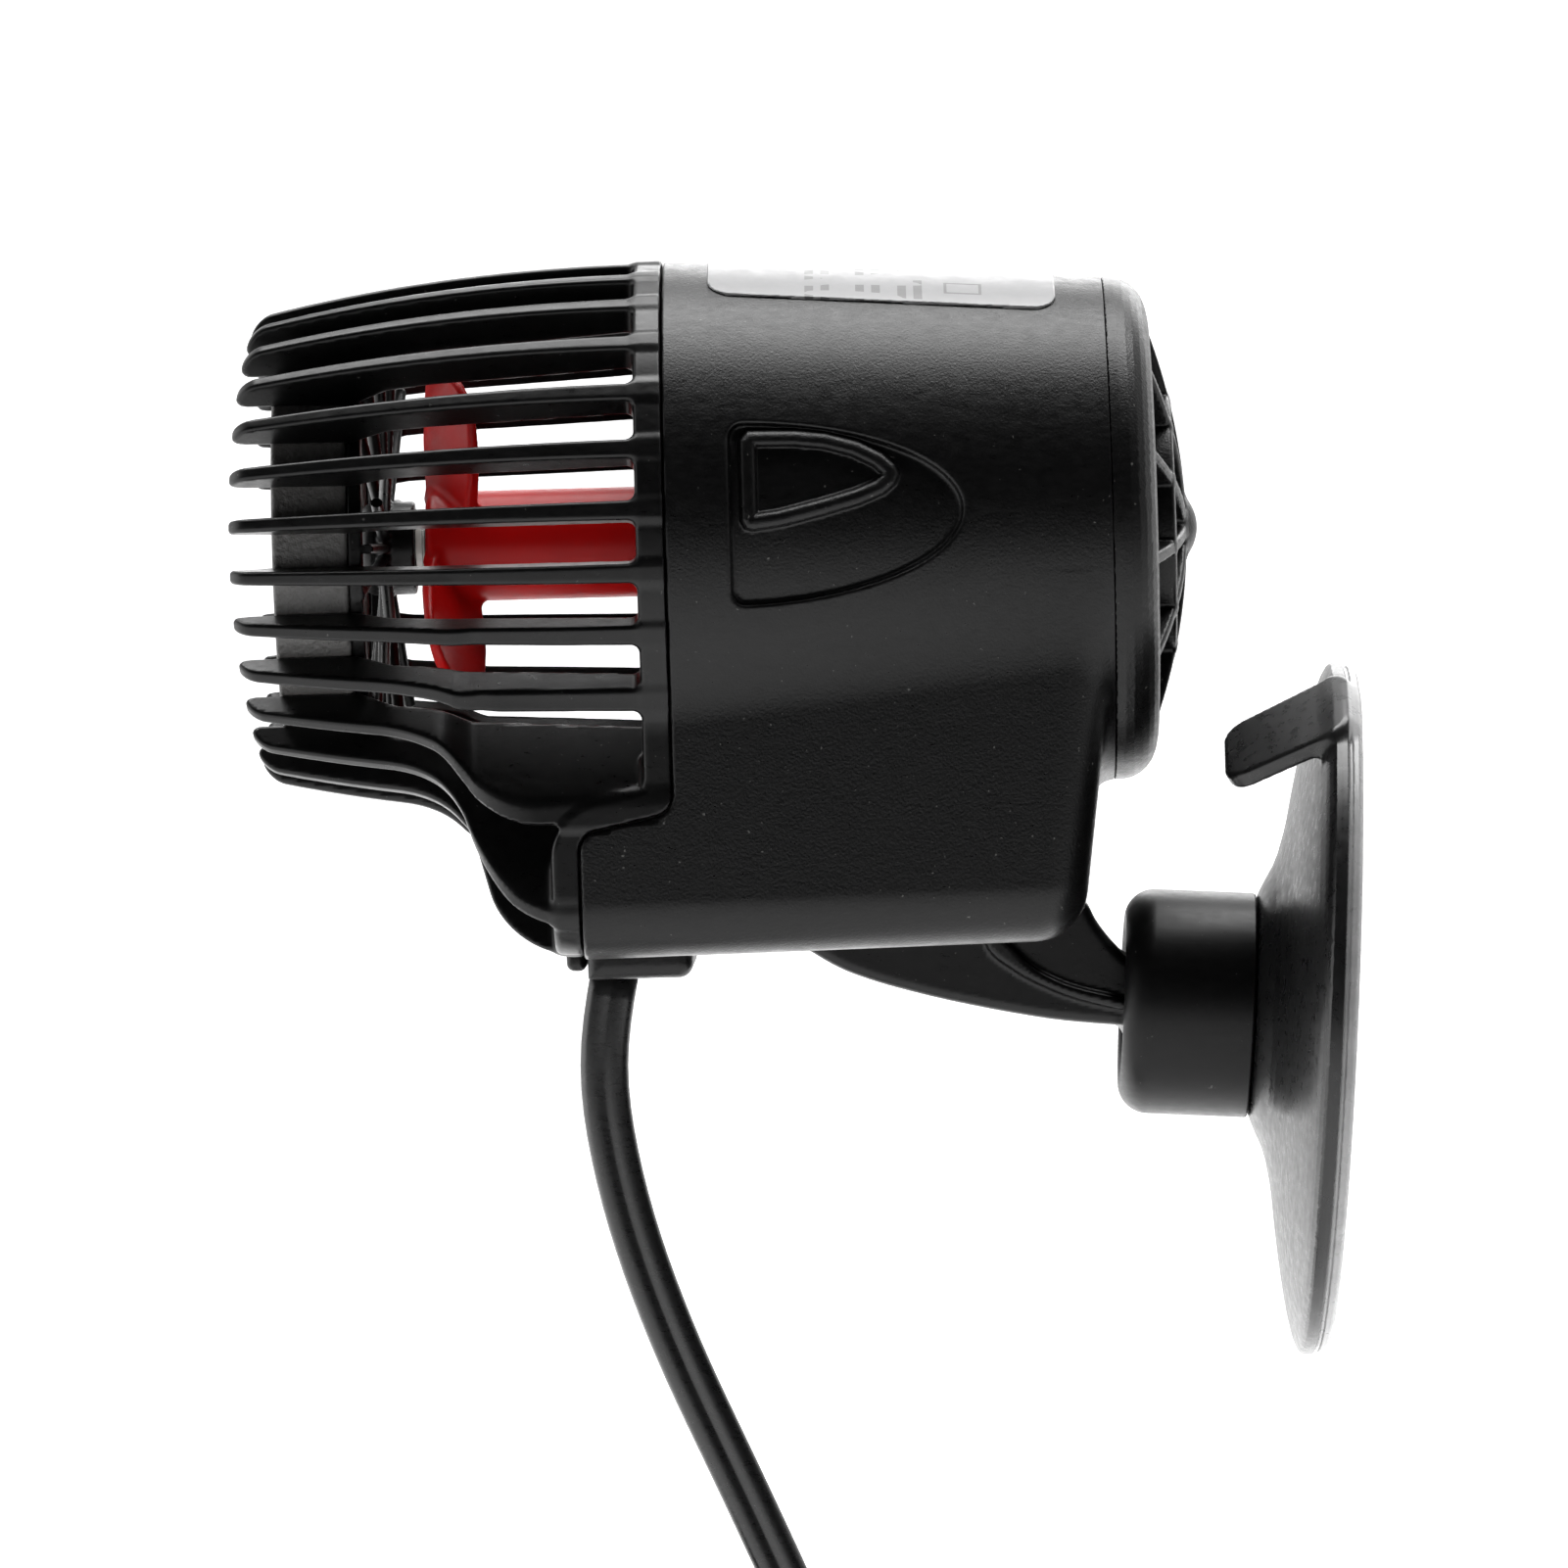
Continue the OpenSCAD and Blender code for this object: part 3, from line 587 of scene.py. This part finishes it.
wound = coil_points()
path = smooth_path(HANG + wound[1:] + TAIL, 1.6)


def twin_section(n=28):
    """Outline of the flat twin cord: two round lobes joined by a web."""
    lobe = CORD_T / 2
    offset = CORD_W / 2 - lobe
    points = []
    for i in range(n):
        a = 2 * math.pi * (i + 0.5) / n
        w, t = math.cos(a), math.sin(a)
        reach = offset * abs(w) + math.sqrt(max(lobe ** 2 - (offset * t) ** 2, 0))
        points.append((w * reach, t * reach))
    return points


def sweep(name, path, section, side_hint, mats):
    """Closed tube of a section along a path. The section's first axis is side_hint across the path."""
    n, m = len(path), len(section)
    points = []
    for i in range(n):
        t = path[min(i + 1, n - 1)] - path[max(i - 1, 0)]
        t = t / np.linalg.norm(t)
        v = side_hint - t * np.dot(side_hint, t)
        v /= np.linalg.norm(v)
        u = np.cross(t, v)
        for a, b in section:
            points.append(path[i] + a * u + b * v)
    faces = [
        (i * m + k, i * m + (k + 1) % m, (i + 1) * m + (k + 1) % m, (i + 1) * m + k)
        for i in range(n - 1) for k in range(m)
    ]
    faces.append(tuple(range(m))[::-1])
    faces.append(tuple((n - 1) * m + k for k in range(m)))
    return to_object(name, points, faces, mats)


cord = sweep("power_lead", path, twin_section(), np.array([0.0, 1.0, 0.0]), (CORD,))
settle(cord, "pump", "cord_pvc", "power_cord", "cord_coil", "cord_tail")

# ---- surfaces shared by the housing and the cage, in the pump frame ----

RIBS = 28
RIB_PITCH = 2 * math.pi / RIBS
SEAM_GAP = 0.06


def barrel_r(x):
    return 19.45 - 0.0623 * x


def cage_r(x):
    return 19.45 - 2.95 * np.maximum(-x / 28, 0) ** 2.2


def seam_side(x, z):
    """Negative on the cage's side of the seam, which steps forward under the barrel."""
    seam_z = -19.85 + 0.22 * (x + 6)
    return lap(x, join(seam_z - z, x + 6.46, 1.1), 1.1)


# ---- cage ----


def chin(x, y, z):
    front = (-14.5 - (z + 18.5) * 0.2833 - x) * 0.962
    body = lap(lap(front, np.abs(y) - 16, 5), -28.3 - z, 4.3)
    return np.maximum(body, z + 6)


def cage_outer(x, y, z):
    soft = 1.4 + 2.8 * step((-12.5 - x) / 2.5)
    low = 0.3 * step(-z / 15) * step(-x / 14)
    return melt(np.hypot(y, z) - cage_r(x) + low, chin(x, y, z), soft)


def cage_shape(x, y, z):
    r = np.hypot(y, z)
    outer = cage_outer(x, y, z)
    seam = seam_side(x, z) + SEAM_GAP
    # Ribs stand in planes through the axis; three of them swing a little round the chin
    angle = np.arctan2(np.abs(y), z)
    swung = np.interp(np.degrees(angle), (0, 109.3, 123.4, 139.5, 148.7, 160.7, 180),
                      (0, 109.3, 122.1, 135, 147.9, 160.7, 180))
    turn = step((x + 16.4) / 3)
    angle = angle * (1 - turn) + np.radians(swung) * turn
    off = angle - (np.floor(angle / RIB_PITCH) + 0.5) * RIB_PITCH
    thick = 0.93 + 0.45 * np.clip((x + 30) / 30, 0, 1)
    inner = np.interp(x, (-33, -28.6, -21.4, -19, -15.7, -8, -2.2, 1),
                      (15.1, 14.42, 14.42, 15.7, 16.2, 16.8, 17.3, 17.3))
    tip = -29.95 + z * z / 194 - x
    side = lap(lap(outer, tip, 1.35), inner - r, 0.6)
    ribs = lap(side, np.abs(r * np.sin(off)) - thick / 2, 0.3)
    band = lap(np.maximum(outer, -outer - 2.15), -seam - 1.9, 0.4)
    body = lap(join(ribs, band, 0.6), seam, 0.2)
    lug = lap(block(x + 7.22, z + 28.75, 0.7, 0.95, 0.55), np.abs(y) - 6, 0.6)
    return join(body, lug, 0.25)


cage = build(
    "cage", cage_shape,
    (spaced((-30.3, 0.2), (-27, 0.42), (-16.6, 0.24), (-12.2, 0.36), (-9, 0.2), (-6, 0.36), (-3, 0.2), 0.3),
     np.arange(784) * 2 * math.pi / 784,
     spaced((13.9, 0.28), (20, 0.36), 33.2)),
    round_x, wrap=True, mats=(SATIN,))
settle(cage, "cage", "satin_black", "front_cage")


# ---- housing ----


def keel(x, y, z, inset):
    low = -28.6 + 0.4 * (x + 6.4) / 31.8 + inset
    rear = x - (28.3 + 2 * (z + 24.2) / 15.2) + inset
    body = lap(lap(np.abs(y) - 16.4 + inset, low - z, 4 - inset / 2), rear, 3.2 - inset / 2)
    return np.maximum(body, z + 4)


GRIP_EDGE = (
    (5.2, 1.2), (5.2, 6.7), (5.75, 7.4), (9, 7.35), (11.2, 7.1), (13.3, 6.5), (15, 5.6), (15.9, 4.75),
    (16.1, 4.1), (15.8, 3.4), (15, 2.75), (13.4, 2.1), (10.8, 1.4), (8, 0.75), (6, 0.5), (5.5, 0.65))


def housing_shape(x, y, z):
    r = np.hypot(y, z)
    outer = melt(r - barrel_r(x), keel(x, y, z, 0), 1.4)
    body = lap(lap(outer, SEAM_GAP - seam_side(x, z), 0.2), x - 30.5, 0.06)
    # Thumb pads: a shallow half ellipse with a raised ring, on both sides
    if np.max(x) > 3 and np.min(x) < 22:
        qx, qz = (x - 4.5) / 15.8, (z - 1.65) / 6.15
        near = np.hypot(qx, qz)
        oval = near * (near - 1) / np.maximum(np.hypot(qx / 15.8, qz / 6.15), 1e-6)
        pad = lap(lap(oval, 4.5 - x, 1), -outer - 0.65, 0.4)
        body = lap(body, -pad, 0.35)
        ring = lap(np.abs(outline(GRIP_EDGE, x, z) + 0.58) - 0.58, outer + 0.02, 0.55)
        ring = np.maximum(ring, -outer - 1)
        body = join(body, ring, 0.2)
    body = np.minimum(body, np.maximum(r - 17.2, np.maximum(-1.6 - x, x - 1)))
    # Room inside for the motor, and the openings in front, behind and below
    room = np.maximum(np.maximum(r - barrel_r(x) + 1.5, 2.2 - x), x - 29.3)
    keel_front = np.minimum(np.maximum(-4.9 - x, z + 21.4), 2.2 - x)
    room = np.minimum(room, np.maximum(keel(x, y, z, 1.5), keel_front))
    room = np.minimum(room, np.maximum(r - 16, x - 2.2))
    room = np.minimum(room, np.maximum(r - 16.05, 29.2 - x))
    room = np.minimum(room, np.maximum(np.hypot(x + 2.3, y) - 2.1, z + 26.5))
    room = np.minimum(room, np.maximum(block(x - 17.5, y, 5.52, 2.02, 0.2), z + 26.5))
    return np.maximum(body, -room)


fine_angle = spaced((0, 0.021), (1.07, 0.0085), (1.88, 0.021), (math.pi, 0.021))[:-1]
angles = np.concatenate([fine_angle, 2 * math.pi - fine_angle[:0:-1]])
angles = np.sort(np.append(angles, math.pi))
housing = build(
    "housing", housing_shape,
    (spaced((-6.9, 0.22), (-4.2, 0.45), (-2.2, 0.2), (2.6, 0.3), (3.8, 0.19), (21, 0.45), (27, 0.25),
            (30.3, 0.09), 30.9),
     angles, spaced((15.5, 0.22), (20.2, 0.42), 33.6)),
    round_x, wrap=True, mats=(MATTE,))
settle(housing, "pump", "matte_black", "motor_housing")


# ---- rear grille ----


def rounder(points, passes=2):
    """Cuts the corners of a closed outline, twice by default."""
    p = np.array(points, float)
    for _ in range(passes):
        q = np.roll(p, -1, 0)
        p = np.stack([0.8 * p + 0.2 * q, 0.2 * p + 0.8 * q], 1).reshape(-1, 2)
    return p


RING_EDGE = np.array((
    (30.2, 13.6), (30.2, 16), (30.53, 16.03), (30.53, 17.5), (30.56, 17.53), (31.2, 17.52), (31.8, 17.4),
    (32.35, 17.12), (32.82, 16.72), (33.2, 16.2), (33.47, 15.55), (33.63, 14.8), (33.66, 14.25),
    (33.55, 13.95), (33.25, 13.75), (32.8, 13.6)))


def grille_shape(x, y, z):
    r = np.hypot(y, z)
    dome = x - (36.05 - 0.0125 * r * r)
    angle = np.arctan2(-y, z) - math.radians(9)
    off = angle - np.round(angle / (math.pi / 6)) * (math.pi / 6)
    ribs = lap(lap(np.abs(r * np.sin(off)) - 0.45, dome, 0.25), np.maximum(r - 14.4, 2 - r), 0.2)
    hoop = lap(np.abs(r - 8.95) - 0.38, dome, 0.2)
    grid = np.maximum(join(ribs, hoop, 0.25), 31.2 - x)
    boss = lap(r - 3.05, x - (36.8 - 0.17 * r * r), 0.8)
    boss = np.maximum(boss, 31 - x)
    return join(join(outline(RING_EDGE, x, r), grid, 0.2), boss, 0.3)


grille = build(
    "rear_grille_ring", grille_shape,
    (spaced((29.9, 0.2), (30.35, 0.09), (30.8, 0.2), 37.5),
     spaced((-17.75, 0.25), 17.75), spaced((-17.75, 0.25), 17.75)), mats=(MATTE,))
settle(grille, "pump", "matte_black", "rear_grille")


# ---- foot bar ----


def clamp_shape(x, y, z):
    bar = lap(lap(x - 0.9, -30.25 - z, 1.0), -6.4 - x, 0.15)
    return lap(lap(bar, np.abs(y) - 8, 1.1), z + 28.3, 0.1)


clamp = build("foot_bar", clamp_shape,
              (spaced((-6.7, 0.2), 1.2), spaced((-8.3, 0.25), 8.3), spaced((-30.5, 0.17), -28.1)),
              mats=(MATTE,))
settle(clamp, "pump", "matte_black", "cable_clamp")


# ---- arm ----

ARM_EDGE = rounder((
    (7.6, -28.0), (11, -30.2), (13.9, -31.3), (17.9, -32.45), (22, -33.4), (26.1, -34.2), (30.8, -34.7),
    (31.6, -34.5), (31.6, -30.2), (30.9, -29.8), (29.7, -28.4), (28.9, -27.2), (28.3, -25.8), (26.5, -26),
    (20, -27.4)))
ARM_BEAD = rounder(((21, -28.2), (21.6, -29.5), (24, -31.2), (27, -32.6), (31.2, -33.7), (31.2, -32.8),
                    (27, -31.75), (24.4, -30.4), (22.4, -28.2)))


def arm_shape(x, y, z):
    plate = lap(outline(ARM_EDGE, x, z), np.abs(y) - 2.8, 0.7)
    bead = lap(outline(ARM_BEAD, x, z), np.abs(y) - 3.35, 0.35)
    arm = join(plate, bead, 0.3)
    t = np.clip(((x - 30.6) * 4.4 - (z + 32.1) * 1.2) / (4.4 ** 2 + 1.2 ** 2), 0, 1)
    neck = np.sqrt((x - 30.6 - 4.4 * t) ** 2 + y * y + (z + 32.1 + 1.2 * t) ** 2) - 2.2
    ball = np.sqrt((x - 35) ** 2 + y * y + (z + 33.3) ** 2) - 4.8
    return join(join(arm, neck, 0.7), ball, 0.5)


arm = build("arm", arm_shape,
            (spaced((7.8, 0.25), 40.1), spaced((-5, 0.22), 5), spaced((-38.4, 0.22), -24.8)), mats=(SATIN,))
settle(arm, "pump", "satin_black", "mount_arm")


# ---- suction cup and socket, in the row frame ----

CUP_EDGE = rounder((
    (-6.3, -3), (-6.3, 7.4), (-5.9, 8.4), (-4.95, 10.3), (-4.3, 13), (-3.9, 15.8), (-3.45, 18.5),
    (-2.9, 21.3), (-2.4, 23.2), (-1.95, 24.1), (-1.5, 24.2), (-1.05, 24.15), (-0.98, 23.85),
    (-0.75, 23.85), (-0.7, 24.05), (-0.3, 24), (0, 23.5), (0, 22.4), (-0.3, 21.6), (-0.7, 20),
    (-1.3, 16), (-1.75, 8), (-1.85, -3)), 1)
TAB_ROUND = math.radians(27)
TAB_LEAN = math.radians(31)
TAB_UP = np.array([0, -math.sin(TAB_ROUND), math.cos(TAB_ROUND)])
TAB_WIDE = np.array([0, math.cos(TAB_ROUND), math.sin(TAB_ROUND)])
TAB_AT = np.array([-1.4, 0, 0]) + 23.8 * TAB_UP
TAB_OUT = -math.sin(TAB_LEAN) * TAB_UP - np.array([math.cos(TAB_LEAN), 0, 0])
TAB_THICK = np.cross(TAB_OUT, TAB_WIDE)


def cup_shape(x, y, z):
    r = np.hypot(y, z)
    cup = outline(CUP_EDGE, x, r)
    u, v, w = (n[0] * (x - TAB_AT[0]) + n[1] * (y - TAB_AT[1]) + n[2] * (z - TAB_AT[2])
               for n in (TAB_OUT, TAB_WIDE, TAB_THICK))
    tab = lap(block(u - 4.1, v, 4.8, 4.2 - 0.05 * u, 1.7), np.abs(w) - 0.65, 0.35)
    pocket = np.minimum(np.maximum(r - 5.45, x + 4.7), np.maximum(r - 6.15, np.abs(x + 4) - 0.7))
    return np.maximum(join(cup, tab, 0.9), -pocket)


cup = build("cup", cup_shape,
            (spaced((-10.4, 0.3), (-6.8, 0.2), (-2.4, 0.11), 0.3), spaced((-24.5, 0.27), 24.5),
             spaced((-24.5, 0.27), 24.5)),
            to_row=as_is, mats=(RUBBER,))
settle(cup, "cup", "cup_rubber", "suction_cup")


def socket_shape(x, y, z):
    r = np.hypot(y, z)
    shell = lap(lap(r - 7.85, -15.4 - x, 2.1), x + 6.32, 0.15)
    mouth = (r - (4.1 + (-13.6 - x) * 0.95)) * 0.72
    shell = lap(shell, -mouth, 0.35)
    neck = np.maximum(r - 5.4, np.maximum(x + 4.6, -8 - x))
    stem = np.minimum(neck, lap(r - 6.1, np.abs(x + 4) - 0.6, 0.3))
    body = np.minimum(shell, stem)
    return np.maximum(body, 4.9 - np.sqrt((x + 11) ** 2 + y * y + z * z))


socket = build("socket", socket_shape,
               (spaced((-15.8, 0.22), -3.1), spaced((-8.2, 0.22), 8.2), spaced((-8.2, 0.22), 8.2)),
               to_row=as_is, mats=(GLOSS,))
settle(socket, "socket", "gloss_black", "ball_socket")


# ---- outlet ring and spider ----


def nozzle_shape(x, y, z):
    return block(np.hypot(y, z) - 13.55, x + 24.4, 0.85, 2.6, 0.35)


nozzle = build("nozzle_ring", nozzle_shape,
               (spaced((-27.3, 0.2), -21.5), np.arange(240) * math.pi / 120, spaced((12.4, 0.17), 14.7)),
               round_x, wrap=True, mats=(TEXTURED,))
settle(nozzle, "cage", "textured_black", "outlet_ring")

VANES = 28
# Every fourth vane ends at the same distance along the axis
VANE_TIPS = (-21.15, -20.45, -19.75, -19.05)


def spider_shape(x, y, z):
    r = np.hypot(y, z)
    hoop = block(r - 13.55, x + 21.3, 0.85, 0.48, 0.2)
    boss = lap(lap(r - 3.25, -21.6 - x, 1), x + 17.8, 0.2)
    boss = np.maximum(boss, -np.maximum(r - 2.22, -20.3 - x))
    angle = np.arctan2(y, z)
    best = join(hoop, boss, 0.2)
    pitch = 2 * math.pi / VANES
    for family, tip in enumerate(VANE_TIPS):
        a = angle - family * pitch
        off = a - np.round(a / (len(VANE_TIPS) * pitch)) * (len(VANE_TIPS) * pitch)
        lean = -19.9 + (tip + 19.9) * (r - 3) / 11
        vane = np.hypot(r * np.sin(off), (x - lean) * 0.8) - 0.34
        vane = np.maximum(np.maximum(vane, r - 14.25), 2.8 - r)
        best = join(best, np.where(np.cos(off) > 0, vane, 9), 0.2)
    return best


spider = build("spider", spider_shape,
               (spaced((-22, 0.17), -17.5), spaced((-14.6, 0.2), 14.6), spaced((-14.6, 0.2), 14.6)))
settle(spider, "cage", "satin_black", "front_spider")


# ---- propeller ----

BLADES = 3
BLADE_X = -15

def propeller_shape(x, y, z):
    r = np.hypot(y, z)
    hub = lap(lap(r - 3.85, -17 - x, 0.6), x - 3, 0.25)
    for k in range(BLADES):
        a = math.radians(16 + 360 / BLADES * k)
        t = y * math.cos(a) + z * math.sin(a)
        rho = -y * math.sin(a) + z * math.cos(a)
        pitch = -np.radians(np.interp(rho, (3, 13), (33, 19)))
        s = t * np.cos(pitch) + (x - BLADE_X) * np.sin(pitch)
        w = -t * np.sin(pitch) + (x - BLADE_X) * np.cos(pitch)
        w = w + 0.35 * (1 - (s / 4.2) ** 2)
        half = np.interp(rho, (3, 7, 9.5, 13), (2.7, 3.9, 4.2, 4.2))
        face = lap(lap(np.abs(s) - half, rho - 12.75, 2.6), 2.9 - rho, 0.2)
        thick = np.interp(rho, (3, 12), (0.6, 0.42)) * (1 - 0.25 * (s / 4.2) ** 2)
        hub = join(hub, lap(face, np.abs(w) - thick, 0.3), 0.7)
    bore = np.where(x > 1.6, 2.55, np.where(x < -13.4, 2.55, 3.25))
    drive = np.maximum(np.abs(y) - z * math.tan(math.radians(20)), np.maximum(2.6 - r, np.abs(x + 8) - 4))
    return np.minimum(np.maximum(hub, bore - r), np.maximum(drive, r - 3.6))


propeller = build("impeller", propeller_shape,
                  (spaced((-18.4, 0.2), (-12.4, 0.36), (1, 0.25), 3.4),
                   spaced((-13.1, 0.2), 13.1), spaced((-13.1, 0.2), 13.1)), mats=(RED,))
settle(propeller, "impeller", "red_plastic", "propeller")


# ---- label ----


def label_shape(x, y, z):
    r = np.hypot(y, z)
    sheet = np.abs(r - barrel_r(x) - 0.1) - 0.1
    edge = block(x - 15.2, y, 12, 9.4, 1.7)
    return lap(np.maximum(edge, -z), sheet, 0.05)


label = build("label", label_shape,
              (spaced((2.4, 0.3), 27.8), spaced((-0.66, 0.014), 0.66), spaced((17.5, 0.07), 19.9)),
              round_x, mats=(LABEL,))
settle(label, "pump", "label", "rating_label")


# ---- tie and plug, in the row frame ----


def coil_section(x, y, z):
    return block(np.hypot(x - COIL_AT[0], z - COIL_AT[2]) - COIL_R, y - COIL_AT[1], 5.1, 4.2, 1.6)


def tie_shape(x, y, z):
    ring = coil_section(x, y, z)
    band = lap(np.abs(ring - 0.42) - 0.36, np.abs(x - COIL_AT[0]) - 2, 0.25)
    band = np.where(z > COIL_AT[2], band, 9)
    head = lap(block(x - COIL_AT[0], y, 2.7, 2.2, 0.5), np.abs(z - COIL_AT[2] - 25.5) - 0.45, 0.3)
    return join(band, head, 0.2)


tie = build("tie", tie_shape,
            (spaced((-57.6, 0.25), -51.4), spaced((-5.3, 0.2), 5.3), spaced((-60.4, 0.2), -47.6)),
            to_row=as_is, mats=(TIE,))
settle(tie, "pump", "tie_plastic", "cord_tie")

PLUG_AT = (-62.5, 11.7, -100)


def plug_shape(x, y, z):
    u, v, h = x - PLUG_AT[0], y - PLUG_AT[1], z - PLUG_AT[2]
    r = np.hypot(u, v)
    relief = np.maximum(np.maximum(r - (2.5 + 0.13 * h), -h), h - 11)
    groove = np.abs(((h - 1.5) % 2.4) - 1.2) - 0.45
    relief = np.maximum(relief, -np.maximum(np.maximum(groove, 2.1 + 0.1 * h - r), h - 9.4))
    waist = lap(block(u, v, 8.5, 5.5, 4), np.abs(h - 15) - 5, 1.5)
    body = lap(block(u, v, 13, 6.8, 5), np.abs(h - 26.4) - 7.5, 1.2)
    grip = np.abs(np.abs(h - 25) % 2.2 - 1.1) - 0.4
    dent = np.maximum(np.maximum(grip, np.abs(h - 25) - 5), np.maximum(6.4 - np.abs(v), np.abs(u) - 8))
    return np.maximum(join(join(relief, waist, 1.2), body, 2), -dent)


plug = build("plug", plug_shape,
             (spaced((-76, 0.3), -49), spaced((4.5, 0.3), 18.9), spaced((-100.4, 0.25), -65.8)),
             to_row=as_is, mats=(PLUG,))
settle(plug, "pump", "plug_plastic", "plug_body")


def pins_shape(x, y, z):
    u, v, h = np.abs(x - PLUG_AT[0]) - 9.5, y - PLUG_AT[1], z - PLUG_AT[2]
    r = np.hypot(u, v)
    return lap(lap(r - 2, h - 52.9, 0.9), 33 - h, 0.1)


pins = build("pins", pins_shape,
             (np.concatenate([spaced((-74.5, 0.25), -69.5), spaced((-55.5, 0.25), -50.5)]),
              spaced((9.3, 0.25), 14.1), spaced((-67.4, 0.3), -46.8)),
             to_row=as_is, mats=(PIN,))
settle(pins, "pump", "pin_metal", "plug_pins")

# ---- floor ----

floor_mesh = bpy.data.meshes.new("floor")
FLOOR_Z = cad_low.z - 0.012
sweep_profile = [(-1.4, 0)] + [(1.6 + 0.5 * math.sin(a), 0.5 - 0.5 * math.cos(a))
                              for a in np.linspace(0, math.pi / 2, 17)] + [(2.1, 3)]
verts = [(x, y, FLOOR_Z + z) for y, z in sweep_profile for x in (-5, 5)]
quads = [(2 * i, 2 * i + 1, 2 * i + 3, 2 * i + 2) for i in range(len(sweep_profile) - 1)]
floor_mesh.from_pydata(verts, [], quads)
floor_mesh.polygons.foreach_set("use_smooth", [True] * len(quads))
paper = Nodes("paper", (0.86, 0.86, 0.86), 0.9, 0.2)
paper.put("Emission Color", (1, 1, 1, 1))
paper.put("Emission Strength", 0.85)
paper.bump(paper.noise(60, 3), 0.05, 0.001)
floor_mesh.materials.append(paper.material)
floor = bpy.data.objects.new("floor", floor_mesh)
scene.collection.objects.link(floor)
